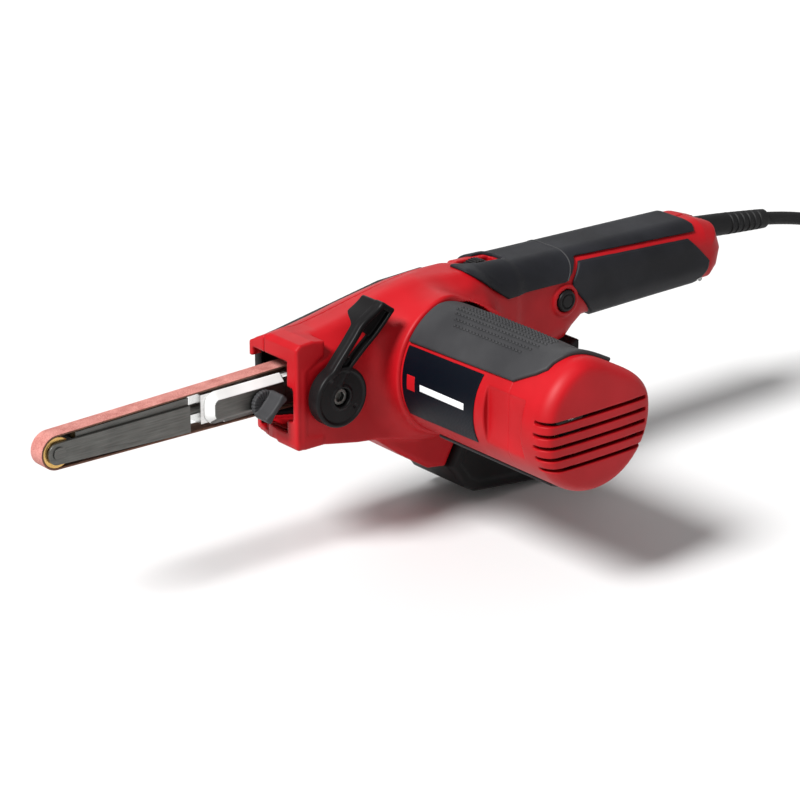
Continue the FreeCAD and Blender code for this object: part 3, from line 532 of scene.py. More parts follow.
# (turns so far, radius of the lane, layer): each lane change takes a fifth of a turn
COIL_LANES = [(0.0, 45.0, 0), (0.8, 45.0, 0), (1.0, 38.0, 0), (1.8, 38.0, 0), (2.0, 31.0, 0), (2.55, 31.0, 0),
              (2.75, 31.0, 1), (3.5, 31.0, 1), (3.7, 38.0, 1), (4.5, 38.0, 1), (4.7, 45.0, 1), (5.3, 45.0, 1),
              (5.5, 45.0, 2), (7.0, 45.0, 2)]
SLEEVE_RINGS = 6
SLEEVE_RING_PITCH = 4.4
# half the distance between the plug's pins, and (distance along, radius) pairs for their two parts
PIN_REACH = 9.5
PIN_SLEEVE = [(0.0, 1.9), (0.0, 1.95), (9.5, 1.9), (9.9, 1.6)]
PIN_TIP = [(9.0, 1.0), (9.6, 2.0), (10.0, 2.4), (17.2, 2.4), (18.4, 1.9), (19.0, 0.9)]
PLUG_ENTRY = (478.0, -168.0, 13.0 + FLOOR)
TAIL_ROUTE = [(518, -167, -68.5), (499, -168, -70.5), PLUG_ENTRY]


def coil_points():
    """The put-away turns: three lanes side by side on each of two layers, and most of a turn on top."""
    points = []
    for step in range(int(COIL_TURNS * COIL_STEPS) + 1):
        turns = step / COIL_STEPS
        for (t0, r0, l0), (t1, r1, l1) in zip(COIL_LANES, COIL_LANES[1:]):
            if t0 <= turns < t1:
                share = ease(turns, t0, t1)
                radius = r0 + (r1 - r0) * share
                layer = l0 + (l1 - l0) * share
        angle = -2.0 * math.pi * turns
        points.append((COIL_CENTRE[0] + radius * math.cos(angle), COIL_CENTRE[1] + radius * math.sin(angle),
                       LYING + 2 * CORD_RADIUS * layer))
    return points


def make_cord():
    curve = bpy.data.curves.new("lead", "CURVE")
    curve.dimensions = "3D"
    curve.bevel_depth = CORD_RADIUS * MM
    curve.bevel_resolution = 6
    curve.resolution_u = 6
    curve.use_fill_caps = True
    route = CORD_ROUTE + coil_points() + TAIL_ROUTE
    spline = curve.splines.new("NURBS")
    spline.points.add(len(route) - 1)
    for point, spot in zip(spline.points, route):
        point.co = (*place(*spot), 1.0)
    spline.order_u = 3
    spline.use_endpoint_u = True
    curve.materials.append(CORD_RUBBER)
    lead = piece("lead", curve, "housing", "cord_rubber", ("cord", "cord_coil", "cord_tail"))
    return lead, line_length(curve)


def line_length(curve):
    """The length of the spline itself, read from the curve with no bevel."""
    bare = curve.copy()
    bare.bevel_depth = 0.0
    holder = bpy.data.objects.new("measure", bare)
    bpy.context.scene.collection.objects.link(holder)
    graph = bpy.context.evaluated_depsgraph_get()
    line = bpy.data.meshes.new_from_object(holder.evaluated_get(graph))
    spots = [vertex.co.copy() for vertex in line.vertices]
    total = sum((after - before).length for before, after in zip(spots, spots[1:]))
    bpy.data.objects.remove(holder)
    bpy.data.curves.remove(bare)
    bpy.data.meshes.remove(line)
    return total


def turned_mesh(name, profile, start, direction, segments):
    """A solid turned about an axis from start, from (distance along, radius) pairs, closed at both ends."""
    mesh = bpy.data.meshes.new(name)
    shape = bmesh.new()
    axis = Vector(direction).normalized()
    side = axis.orthogonal().normalized()
    other = axis.cross(side)
    rings = []
    for along, radius in profile:
        ring = []
        for number in range(segments):
            angle = 2 * math.pi * number / segments
            spot = Vector(start) + axis * along + (side * math.cos(angle) + other * math.sin(angle)) * radius
            ring.append(shape.verts.new(place(*spot)))
        rings.append(ring)
    for lower, upper in zip(rings, rings[1:]):
        for number in range(segments):
            after = (number + 1) % segments
            shape.faces.new((lower[number], lower[after], upper[after], upper[number]))
    shape.faces.new(list(reversed(rings[0])))
    shape.faces.new(rings[-1])
    bmesh.ops.recalc_face_normals(shape, faces=shape.faces)
    shape.to_mesh(mesh)
    shape.free()
    mesh.shade_smooth()
    mesh.set_sharp_from_angle(angle=math.radians(40))
    return mesh


def make_sleeve():
    """The strain relief: a plain foot, a tapering sleeve with shallow rings, and a rounded lip."""
    axis = Vector(CORD_START) - Vector(SLEEVE_START)
    length = axis.length
    profile = [(0.0, 5.2), (0.4, 6.0), (14.0, 6.0), (19.5, 6.0), (21.0, 5.9)]
    for number in range(SLEEVE_RINGS):
        start = 23.0 + SLEEVE_RING_PITCH * number
        radius = 5.95 - 0.11 * number
        groove = radius - 0.55
        profile += [(start, radius), (start + 0.4, groove), (start + 1.3, groove), (start + 1.7, radius)]
    profile += [(length - 2.2, 5.2), (length - 0.9, 5.15), (length - 0.2, 4.6), (length, 3.7)]
    mesh = turned_mesh("strain_relief", profile, SLEEVE_START, axis, 48)
    return piece("strain_relief", mesh, "housing", "cord_rubber", ("cord_sleeve",))


def plug_field(x, y, z):
    """A plug: a flat rounded body and a ribbed neck."""
    px, py, pz = PLUG_ENTRY
    flange = drawn(drawn(span(y, py - 18.5, py + 18.5), span(z, pz - 13, pz + 13), 9.0),
                   span(x, px - 40, px - 26), 2.0)
    along = np.clip((px - x) / 26.0, 0.0, 1.0)
    neck_radius = 5.4 + 5.4 * along ** 1.4
    neck = drawn(np.hypot(y - py, z - pz) - neck_radius, span(x, px - 32, px), 1.2)
    ribs = 0.7 * np.clip(np.cos((px - x) * 2 * math.pi / 4.2), 0.0, 1.0) * ((px - x) < 20) * ((px - x) > 2)
    body = join(flange, neck + ribs, 5.0)
    grip = drawn(drawn(span(y, py - 7, py + 7), span(x, px - 37, px - 29), 1.5),
                 span(z, pz + 11.9, pz + 15), 0.3)
    return carve(body, grip, 0.6)


def make_plug():
    px, py, pz = PLUG_ENTRY
    plug = shaped("plug", plug_field, (px - 40, py - 18.5, pz - 13), (px, py + 18.5, pz + 13), 0.7,
                  "housing", "cord_rubber", ("plug_body",))
    parts = []
    for side in (-PIN_REACH, PIN_REACH):
        for slot, profile in enumerate((PIN_SLEEVE, PIN_TIP)):
            parts.append((turned_mesh("pin", profile, (px - 40.0, py + side, pz), (-1, 0, 0), 32), slot))
    pins = merged("plug_contacts", parts)
    pins.materials.append(CORD_RUBBER)
    pins.materials.append(BRIGHT_STEEL)
    contacts = piece("plug_contacts", pins, "housing", "bright_steel", ("plug_pins",))
    return plug, contacts


def make_lead():
    lead, length = make_cord()
    sleeve = make_sleeve()
    plug, contacts = make_plug()


# ---- housing

WALL = 2.5
NEAR_SIDE, FAR_SIDE = -25.0, 14.0
GRIP_HALF = 20.0
MOTOR_X, MOTOR_Z = 207.42, 3.0
MOTOR_BORE = 30.5
FLAT_UP_X, FLAT_UP_Z = 0.469, 0.883
CAP_END = -142.0
BODY_SIDE = [(124, -22.5), (124, 25.6), (131, 27.6), (143, 28.0), (158, 30.6), (173, 33.7), (189, 36.4),
             (204.5, 38.6), (216, 39.4), (226, 39.5), (233, 38.9), (240, 37.4), (247, 34.8), (262, 33.4),
             (262, -25), (232, -38), (200, -38), (170, -31.2), (158, -29.6), (140, -26.0), (136, -25),
             (126, -25)]
CHUTE_SIDE = [(158, -22), (158, -29.6), (170, -31.2), (192, -47.8), (209, -59), (219.6, -60.7), (232, -38),
              (240, -22)]
LIP_SIDE = [(121, -22.8), (121, 26.0), (123.5, 28.0), (131, 28.4), (138, 27.0), (138, 20), (127, 14),
            (127, -18), (137, -21), (137, -25), (123, -24.6)]
HANDLE_SIDE = [(246, 34), (262, 33.4), (396, 29.9), (407, 26), (411.5, 14), (409, 3), (403, -3.6),
               (319, -3.9), (312, -4.2), (306, -8.5), (301, -13.5), (290, -16.5), (262, -25), (246, -25)]
COVER_SIDE = [(129, -22), (129, 18.5), (143, 20.5), (205, 31), (232, 32), (246, 27), (250.5, 26),
              (250.5, -28), (232, -34), (170, -29), (158, -27.6)]
UPPER_GRIP = [(229, 39), (254.4, 20.2), (295.6, 19.4), (300.4, 23.4), (305.2, 29.6), (388.0, 25.7),
              (390.8, 29.5), (381, 44), (231, 50)]
LOWER_GRIP = [(298.8, 16.6), (299.4, 20.0), (305.9, 29.0), (382.4, 25.0), (397.0, 10.4), (396.4, 4.6),
              (391, -6), (319, -6), (311.5, 2.0)]
SCREW_PLACES = [(272, 22), (304, -3), (383, 24), (402, 10), (166, -25.5)]
BUTTON_X, BUTTON_Z = 295.0, 10.6
DIAL_X, DIAL_Z = 252.6, 26.5
HINGE_X, HINGE_Z = 392.0, 0.3
LEVER_X, LEVER_Z = 141.0, 0.5


# the body's top ridge: its height at each place along the tool
RIDGE_X = [120, 130, 143, 158, 173, 189, 204.5, 216, 232, 246, 262, 280]
RIDGE_Z = [27.8, 28.2, 29.4, 31.8, 34.8, 37.4, 39.6, 40.2, 40.0, 37.0, 36.0, 36.0]


def motor_flat(x, z):
    """Distance from the motor's axis towards its flattened upper back."""
    return FLAT_UP_X * (x - MOTOR_X) + FLAT_UP_Z * (z - MOTOR_Z)


def chamfer_field(x, y, z):
    """The slanting facet along the upper near edge of the body; it climbs towards the motor."""
    rise = 29.6 + 0.17 * (x - 143)
    return (-0.628 * (y + 12) + 0.778 * (z - rise)) / 1.01


def far_fall(x, y, z):
    """The body's top falls away from its ridge to the far side."""
    ridge = np.interp(x, RIDGE_X, RIDGE_Z)
    return (z - ridge + 0.5 * (y + 1.0)) * 0.894


def handle_field(x, y, z):
    """The straight handle, with its long edges rounded to a soft oval."""
    return drawn(outline(x, z, HANDLE_SIDE), span(y, -GRIP_HALF, GRIP_HALF), 13.0)


def near_face(x):
    """Where the body's near wall stands: it draws in towards the handle."""
    return NEAR_SIDE + (-GRIP_HALF - NEAR_SIDE) * ease(x, 236, 266)


def body_outside(x, y, z):
    """The housing's outer skin: body, chute, motor collar, handle, front lips and the button's boss."""
    body = drawn(outline(x, z, BODY_SIDE), span(y, near_face(x), FAR_SIDE), 1.2)
    body = keep_both(body, chamfer_field(x, y, z), 2.5)
    body = keep_both(body, far_fall(x, y, z), 2.0)
    shoulder = (z - y) * 0.7071 - 45.6 + 12.6 * ease(x, 224, 254)
    body = keep_both(body, shoulder, 5.0)
    chute = drawn(outline(x, z, CHUTE_SIDE), span(y, -18, 13), 3.0)
    body = join(body, chute, 5.0)
    collar = disc(x, y, z, MOTOR_X, MOTOR_Z, 36.0, -38, -8, 1.6)
    collar = keep_both(collar, motor_flat(x, z) - 31.0, 3.0)
    body = join(body, collar, 11.0)
    body = join(body, handle_field(x, y, z), 7.0)
    foot = block(x, y, z, 121.5, 137, -25, -8, -25, -20, 1.2)
    lips = drawn(outline(x, z, LIP_SIDE), span(y, -25, 12), 1.0)
    lips = keep_both(lips, far_fall(x, y, z) + 0.2, 0.8)
    body = join(body, join(foot, lips, 1.0), 1.0)
    boss = disc(x, y, z, BUTTON_X, BUTTON_Z, 8.4, -21.4, -12, 0.8)
    return join(body, boss, 1.2)


def body_field(x, y, z):
    """The hollow clamshell with its openings."""
    outside = body_outside(x, y, z)
    shell = carve(outside, outside + WALL)
    front = join(block(x, y, z, 110, 137, -17.6, 30, -17.6, 14, 1.0),
                 block(x, y, z, 110, 137, -17.6, 9, 10, 18.5, 1.0))
    notch = block(x, y, z, 110, 131, -21.8, -8, -11, 6, 1.5)
    lower_front = outline(y, x, [(-20, 100), (-20, 119.5), (-5, 121.5), (14, 127), (40, 140), (40, 100)])
    lower_front = np.maximum(lower_front, z + 12.0)
    side = drawn(outline(x, z, COVER_SIDE) + 1.6, span(y, 4, 40), 0.5)
    motor = disc(x, y, z, MOTOR_X, MOTOR_Z, MOTOR_BORE, -60, -21)
    lever = disc(x, y, z, LEVER_X, LEVER_Z, 4.4, -40, -10)
    button = disc(x, y, z, BUTTON_X, BUTTON_Z, 6.1, -40, -10)
    dial = block(x, y, z, DIAL_X - 12, DIAL_X + 12, -3.9, 3.9, 24, 50, 1.5)
    trigger = block(x, y, z, 320.5, 400.5, -10.6, 10.6, -20, 2.5, 1.0)
    outlet = block(x, y, z, 214, 240, -14, 10, -59, -42, 1.0)
    slope = (SLEEVE_START[2] - CORD_START[2]) / (CORD_START[0] - SLEEVE_START[0])
    centre = SLEEVE_START[2] - slope * (x - SLEEVE_START[0])
    lead = np.maximum(np.hypot(y, z - centre) - 6.2, 400.0 - x)
    for cutter in (front, notch, lower_front, side, motor, lever, button, dial, trigger, outlet, lead):
        shell = carve(shell, cutter)
    # posts for all the screws but the last, which goes into the belly
    for sx, sz in SCREW_PLACES[:-1]:
        post = np.hypot(x - sx, z - sz)
        shell = join(shell, np.maximum(post - 4.2, np.maximum(outside + 0.6, 9.9 - np.abs(y))), 0.8)
        shell = carve(shell, np.maximum(post - 3.2, 10.0 - y), 0.4)
    return shell


def make_shells():
    """The two halves, with a fine parting gap between them."""
    for name, side, y0, y1 in (("near", -1, -39, 0.2), ("far", 1, -0.2, 21)):
        shaped("shell_" + name, half(body_field, side, 0.12), (120, y0, -62), (424, y1, 41), 0.8,
               "housing", "red_plastic", ("main_shell_" + name,))


def cover_field(x, y, z):
    """The belt cover: a crowned plate with a sunken field and finger ribs at its rear end."""
    flat = outline(x, z, COVER_SIDE)
    skin = drawn(flat, span(y, 14.1, 19.0), 1.6)
    skin = carve(skin, drawn(flat + WALL, span(y, 10, 16.5), 0.5))
    skin = carve(skin, drawn(flat + 6.0, span(y, 18.2, 30), 0.6) + np.maximum(x - 214.0, 0.0), 0.8)
    ribs = np.maximum(np.maximum(span(x, 219, 243), span(z, -16, 22)), np.sin(x * 2 * math.pi / 4.0) - 0.1)
    return carve(skin, np.maximum(ribs * 0.6, 18.1 - y), 0.5)


def make_cover():
    shaped("cover_panel", cover_field, (129, 14, -35), (251, 19, 38), 0.7, "cover", "black_plastic",
           ("belt_cover",))


# ---- motor housing

# corners as (degrees round the motor from its front side, place along its axis)
GRIP_CORNERS = [(30.5, -38.4), (33.0, -112.5), (45.0, -123.5), (52.5, -127.8), (60.0, -128.2), (68.0, -129.8),
                (80.0, -131.0), (122.0, -131.0), (133.0, -122.0), (135.0, -38.4)]
LABEL_CORNERS = [(-32.5, -39.2), (-31.0, -90.0), (-16.0, -90.6), (0.0, -91.4), (16.0, -92.2), (31.4, -93.4),
                 (30.2, -39.2)]
STRIP_CORNERS = [(-112.0, -46), (-112.0, -122), (-62.0, -126), (-55.0, -60), (-60.0, -46)]
SKIN_RADIUS = 34.0
# millimetres of skin to a degree
ARC = math.radians(SKIN_RADIUS)
VENTS, VENT_PITCH = 5, 5.85


def flat_distance(y):
    """How far the flattened upper back stands from the axis."""
    return 27.0 - 0.6 * ease(-y, 90, 112) + 1.8 * ease(-y, 119, 130)


def motor_skin(x, y, z):
    """The outside of the motor housing, endless along its axis."""
    radius = np.hypot(x - MOTOR_X, z - MOTOR_Z) - SKIN_RADIUS
    return keep_both(radius, motor_flat(x, z) - flat_distance(y), 7.0)


def skin_reach(angle, y, height):
    """Radius of the point at an angle and a height over the motor's skin."""
    step_x, step_z = -np.cos(angle), np.sin(angle)
    radius = np.full(np.broadcast(angle, y, height).shape, 30.0)
    for _ in range(6):
        radius = radius - (motor_skin(MOTOR_X + step_x * radius, y, MOTOR_Z + step_z * radius) - height)
    return radius


def wrapped(name, corners, bottom, top, edge, cell):
    """A panel drawn flat as (arc, y, height) and then laid on the motor's skin; corners are (degrees, y)."""
    flat_corners = [(angle * ARC, along) for angle, along in corners]

    def field(u, v, w):
        return drawn(outline(u, v, flat_corners) + edge, span(w, bottom, top), edge)

    def lay(points):
        angle = points[:, 0] / SKIN_RADIUS
        radius = skin_reach(angle, points[:, 1], points[:, 2])
        return np.stack([MOTOR_X - np.cos(angle) * radius, points[:, 1],
                         MOTOR_Z + np.sin(angle) * radius], axis=1)

    us, vs = [u for u, _ in flat_corners], [v for _, v in flat_corners]
    low, high = (min(us), min(vs), bottom), (max(us), max(vs), top)
    return modelled(name, field, low, high, cell / COARSE, lay)


def facet(x, y, z):
    """Cuts the flat window on the neck's front side."""
    return block(x, y, z, MOTOR_X - 60, MOTOR_X - 30.7, -123.6, -97.5, -15.0, 17.0, 0.6)


def motor_field(x, y, z):
    """The motor's tube; its bore narrows behind the window so that the wall stays whole."""
    tube = drawn(motor_skin(x, y, z), span(y, -112.2, -36.4), 0.1)
    tube = carve(tube, facet(x, y, z), 0.5)
    round_bore = np.hypot(x - MOTOR_X, z - MOTOR_Z) - MOTOR_BORE + 2.0 * ease(-y, 97.2, 98.0)
    bore = keep_both(round_bore, motor_flat(x, z) - 25.0, 1.0)
    return carve(tube, bore)


def cap_field(x, y, z):
    """The end cap: neck, bulb with a broad rounded rim, and five vents that wrap onto its front side."""
    skin = motor_skin(x, y, z)
    radius = np.hypot(x - MOTOR_X, z - MOTOR_Z)
    solid = drawn(skin, span(y, CAP_END, -80), 8.5)
    solid = keep_both(solid, y + 111.8)
    solid = keep_both(solid, -(y - CAP_END - 1.6 * (radius / SKIN_RADIUS) ** 2), 1.0)
    solid = carve(solid, facet(x, y, z), 0.5)
    solid = carve(solid, drawn(skin + 4.6, span(y, -139.6, -100), 5.0))
    for row in range(VENTS):
        level = MOTOR_Z - 5.1 + VENT_PITCH * (row - 2)
        slot = block(x, y, z, MOTOR_X - 50, MOTOR_X + 28.5, -160, -132.0, level - 0.95, level + 0.95, 0.6)
        solid = carve(solid, slot, 0.3)
    return solid


def make_motor_housing():
    reach = 36.5
    low, high = (MOTOR_X - reach, -112, MOTOR_Z - reach), (MOTOR_X + reach, -36, MOTOR_Z + reach)
    shaped("motor_shell", motor_field, low, high, 0.75, "housing", "red_plastic", ("motor_housing",))
    shaped("vented_cap", cap_field, (low[0], CAP_END, low[2]), (high[0], -111.8, high[2]), 0.5,
           "housing", "red_plastic", ("motor_end_cap",))
    for name, corners, bottom, top, edge, cell, slot, replaced in (
            ("label_panel", LABEL_CORNERS, -0.25, 0.5, 0.3, 0.45, "label_film", "label_plate"),
            ("motor_overmould", GRIP_CORNERS, -0.6, 1.9, 0.8, 0.55, "dark_rubber", "motor_grip"),
            ("motor_strip", STRIP_CORNERS, -0.5, 1.4, 0.6, 0.7, "dark_rubber", "motor_bottom_strip")):
        piece(name, wrapped(name, corners, bottom, top, edge, cell), "housing", slot, (replaced,))
    make_label_bars()
    make_grip_dots()


def make_label_bars():
    """A plain red block and a plain pale bar in place of printing."""
    for name, finish, corners in (
            ("label_block", RED, [(-5.5, -43.0), (-5.5, -49.0), (7.5, -49.0), (7.5, -43.0)]),
            ("label_bar", LABEL_PALE, [(-3.0, -52.5), (-3.0, -84.5), (3.2, -84.5), (3.2, -52.5)])):
        piece(name, wrapped(name, corners, 0.2, 0.62, 0.12, 0.3), "housing", "label_film", material=finish)


def bead_points(rows, columns):
    """A unit half bead as rings of points, closed at the top."""
    ring = [(math.cos(rise) * math.cos(turn), math.cos(rise) * math.sin(turn), math.sin(rise))
            for rise in [row * math.pi / 2 / rows for row in range(rows)]
            for turn in [2 * math.pi * column / columns for column in range(columns)]]
    faces = []
    for row in range(rows - 1):
        for column in range(columns):
            after = (column + 1) % columns
            faces.append((row * columns + column, row * columns + after, (row + 1) * columns + after,
                          (row + 1) * columns + column))
    faces.append(tuple((rows - 1) * columns + column for column in range(columns)))
    return ring, faces


# rows are spaced in degrees round the motor, and dots in millimetres along it
DOT_ROWS, FIRST_ROW_ANGLE, ROW_PITCH, DOT_PITCH = 8, 57.0, 5.4, 2.3
# each dot's half width, half length and height, and how far its foot stands over the motor's skin
DOT_HALF_WIDTH, DOT_HALF_LENGTH, DOT_HEIGHT, DOT_FOOT = 0.85, 1.0, 0.95, 1.75


def make_grip_dots():
    """Rows of small raised beads along the motor grip; the middle rows are the longest."""
    bead, bead_faces = bead_points(3, 10)
    lengthwise = Vector((0.0, DOT_HALF_LENGTH, 0.0))
    points, faces = [], []
    for row in range(DOT_ROWS):
        turn = math.radians(FIRST_ROW_ANGLE + ROW_PITCH * row)
        outward = Vector((-math.cos(turn), 0.0, math.sin(turn)))
        aside = Vector((math.sin(turn), 0.0, math.cos(turn)))
        from_middle = abs(row - (DOT_ROWS - 1) / 2)
        first = -50.0 - 3.0 * from_middle
        last = -118.0 + 2.0 * from_middle
        for number in range(int((first - last) / DOT_PITCH)):
            along = first - DOT_PITCH * number
            radius = float(skin_reach(np.float64(turn), np.float64(along), np.float64(DOT_FOOT)))
            centre = Vector((MOTOR_X, along, MOTOR_Z)) + outward * radius
            base = len(points)
            for u, v, w in bead:
                spot = centre + aside * (DOT_HALF_WIDTH * u) + lengthwise * v + outward * (DOT_HEIGHT * w)
                points.append(place(*spot))
            faces += [tuple(base + corner for corner in face) for face in bead_faces]
    mesh = bpy.data.meshes.new("motor_grip_dots")
    mesh.from_pydata(points, [], faces)
    mesh.shade_smooth()
    piece("motor_grip_dots", mesh, "housing", "dark_rubber")


# ---- handle

PAD_BELOW, PAD_ABOVE, PAD_EDGE = -0.6, 1.35, 0.8


def pad_field(skin, flat):
    """A soft pad of a flat shape, standing a little over a skin."""
    return drawn(flat + PAD_EDGE, span(skin, PAD_BELOW, PAD_ABOVE), PAD_EDGE)


def upper_grip_field(x, y, z):
    """The soft top of the handle, cut away round the speed dial."""
    grip = pad_field(body_outside(x, y, z), outline(x, z, UPPER_GRIP))
    grip = carve(grip, np.maximum(x - 256.0, 4.0 - y), 0.8)
    rim = outline(x, y, [(225, -7), (225, 7), (263, 7), (267.5, 3.5), (267.5, -3.5), (263, -7)])
    recess = np.maximum(rim, 25.0 - z)
    return carve(grip, recess, 0.8)


def lower_grip_field(x, y, z):
    """The soft side panels of the handle, cut away round the trigger."""
    grip = pad_field(handle_field(x, y, z), outline(x, z, LOWER_GRIP))
    return carve(grip, np.maximum(np.abs(y) - 10.9, z - 3.0), 0.3)


def seam_field(x, y, z):
    """The fine raised mould line across the upper grip."""
    skin = handle_field(x, y, z)
    line = 295.6 + 4.8 * np.sin(np.clip((z - 20.5) / 21.0, 0.0, 1.0) * math.pi * 0.9)
    return np.maximum(drawn(np.abs(x - line) - 0.45, span(skin, 0.9, 1.62), 0.25), 20.8 - z)


def make_handle():
    cell = 0.7 / COARSE
    shaped("handle_overmould", upper_grip_field, (231, -26.5, 19), (391, 21.5, 41), cell,
           "housing", "dark_rubber", ("handle_grip_top",), GRIP_RUBBER)
    shaped("handle_mould_line", seam_field, (294, -21.8, 20), (302, 21.8, 36), 0.35 / COARSE,
           "housing", "dark_rubber", material=DARK_RUBBER)
    for name, side, y0, y1 in (("near", -1, -21.5, -8), ("far", 1, 8, 21.5)):
        shaped("handle_panel_" + name, half(lower_grip_field, side), (298, y0, -6), (398, y1, 29), cell,
               "housing", "dark_rubber", ("handle_pad_" + name,), GRIP_RUBBER)


def trigger_field(x, y, z):
    """The paddle: a long curved plate with finger grooves on its underside, and its hinge ears."""
    side = [(322, -6.2), (390, -5.6), (397, -3), (397, 1.5), (392, 3.6), (386, 2.0), (376, -2.0), (322, 0.5)]
    paddle = drawn(outline(x, z, side), span(y, -10, 10), 1.4)
    groove = 0.35 * np.cos(x * 2 * math.pi / 5.0) + 6.4
    grooves = np.maximum(np.maximum(z + groove, span(x, 330, 372)), span(y, -8, 8))
    paddle = carve(paddle, grooves, 0.4)
    return carve(paddle, disc(x, y, z, HINGE_X, HINGE_Z, 1.55, -30, 30))


def button_field(x, y, z):
    """The lock button: a cap with a shallow ring in its face, and its stem."""
    cap = disc(x, y, z, BUTTON_X, BUTTON_Z, 5.6, -22.5, -13, 1.2)
    ring = np.abs(np.hypot(x - BUTTON_X, z - BUTTON_Z) - 3.6) - 0.35
    cap = carve(cap, np.maximum(ring, y + 22.0), 0.3)
    return join(cap, disc(x, y, z, BUTTON_X, BUTTON_Z, 2.5, -13.5, -8, 0.3))


def dial_field(x, y, z):
    """The speed dial: a thin wheel with a knurled rim."""
    angle = np.arctan2(z - DIAL_Z, x - DIAL_X)
    wheel = disc(x, y, z, DIAL_X, DIAL_Z, 9.7, -3, 3, 0.5) - 0.3 * np.cos(angle * 36)
    return carve(wheel, disc(x, y, z, DIAL_X, DIAL_Z, 1.55, -9, 9))


def make_controls():
    shaped("trigger_paddle", trigger_field, (322, -10, -6.2), (397, 10, 3.7), 0.6,
           "switch_paddle", "black_plastic", ("trigger",), GRIP_RUBBER)
    shaped("lock_cap", button_field, (289, -22.5, 4.5), (301, -8, 17), 0.3,
           "lock_pin", "black_plastic", ("lock_button",))
    shaped("dial_wheel", dial_field, (242, -3, 16), (263, 3, 37), 0.3, "dial", "black_plastic",
           ("speed_dial",))


# ---- dust duct

DUCT_SIDE = [(219.6, -60.7), (229, -73.5), (237, -78), (306, -85.5), (306, -12.5), (301, -15), (288, -16.5),
             (262, -25), (232, -38)]
PORT_Z, PORT_BORE = -58.5, 17.5


def duct_field(x, y, z):
    """The black duct: a rounded box with sunken sides and a ringed hose port."""
    flat = outline(x, z, DUCT_SIDE)
    outer = drawn(flat, span(y, -21, 21), 3.0)
    around = np.hypot(y, z - PORT_Z)
    port = drawn(around - 19.2, span(x, 300, 320), 0.8)
    rings = 0.7 * np.clip(np.cos((x - 307) * 2 * math.pi / 4.4), 0.0, 1.0)
    outer = join(outer, port - rings * (x > 306), 1.5)
    shell = carve(outer, drawn(flat + WALL, span(y, -18.5, 18.5), 1.5))
    sunk = drawn(flat + 6.0, np.minimum(span(y, -30, -20.4), span(y, 20.4, 30)), 0.3)
    shell = carve(shell, sunk, 0.8)
    shell = carve(shell, np.maximum(around - PORT_BORE, 300 - x))
    return carve(shell, block(x, y, z, 212, 236, -12, 8, -60, -44, 0.6))


def make_duct():
    shaped("dust_duct", duct_field, (219, -21, -85.5), (320.5, 21, -12), 0.8, "housing", "black_plastic",
           ("dust_adapter",))


# ---- release lever

LEVER_LEAN = math.radians(54)
LEVER_REACH = 49.0
LEVER_FACE = -34.4
BOLT_RADIUS, BOLT_TOP, BOLT_END = 4.4, -32.5, -29.0


def lever_field(x, y, z):
    """A dished disc, an arm with a raised leading flange and a window, and a wide thumb tab at its end."""
    along, across = leaning(x, z, LEVER_X, LEVER_Z, LEVER_LEAN)
    hub = disc(x, y, z, LEVER_X, LEVER_Z, 15.0, -34.5, -26.5, 1.3)
    radius = np.hypot(x - LEVER_X, z - LEVER_Z)
    hub = carve(hub, np.maximum(span(radius, 6.2, 12.9), y + 33.8), 0.7)
    top = 12.6 - 2.2 * ease(along, 4.0, 34.0) - 5.6 * ease(along, 32.0, 49.0)
    bottom = 3.6 - 4.6 * ease(along, 8.0, 36.0) - 3.2 * ease(along, 24.0, 49.0)
    reach = span(along, 4.0, LEVER_REACH - 0.4)
    inner = -27.0 + 8.6 * ease(along, 32.0, 39.0)
    flange = drawn(drawn(span(across, top - 3.0, top), reach, 1.2),
                   np.maximum(LEVER_FACE - y, y - inner), 0.9)
    rail = drawn(drawn(span(across, bottom, bottom + 1.9), reach, 0.8), span(y, LEVER_FACE, -28.5), 0.6)
    web = drawn(drawn(span(across, bottom, top), reach, 1.0), span(y, -31.5, -29.3), 0.4)
    window = drawn(drawn(span(across, bottom + 2.4, top - 4.2), span(along, 18.0, 32.0), 0.8),
                   span(y, -40, -20), 0.1)
    web = carve(web, window, 0.4)
    tip = drawn(drawn(span(across, bottom, top), span(along, LEVER_REACH - 3.0, LEVER_REACH - 0.2), 1.0),
                span(y, LEVER_FACE, -28.5), 0.6)
    lever = join(hub, join(join(flange, rail, 0.8), join(web, tip, 0.6), 0.6), 1.0)
    lever = carve(lever, disc(x, y, z, LEVER_X, LEVER_Z, 4.7, -40, -29, 0.2), 0.4)
    return carve(lever, disc(x, y, z, 149.0, -5.6, 0.9, -40, -33.4))


def bolt_field(x, y, z):
    """The lever's bolt: a pan head with a hexagon socket, seen from -Y."""
    head = disc(x, y, z, LEVER_X, LEVER_Z, BOLT_RADIUS, BOLT_TOP, BOLT_END, 0.7)
    turn = np.arctan2(z - LEVER_Z, x - LEVER_X)
    hexagon = np.hypot(x - LEVER_X, z - LEVER_Z) * np.cos((turn % (math.pi / 3)) - math.pi / 6) - 2.2
    return carve(head, np.maximum(hexagon, y - (BOLT_TOP + 2.4)), 0.2)


def make_lever():
    shaped("release_handle", lever_field, (125, -34.5, -15), (178, -13.5, 47), 0.45,
           "lever", "black_plastic", ("release_lever",))
    low = (LEVER_X - BOLT_RADIUS, BOLT_TOP, LEVER_Z - BOLT_RADIUS)
    high = (LEVER_X + BOLT_RADIUS, BOLT_END, LEVER_Z + BOLT_RADIUS)
    shaped("lever_bolt", bolt_field, low, high, 0.25, "lever", "zinc_screw", ("lever_screw",), DARK_STEEL)


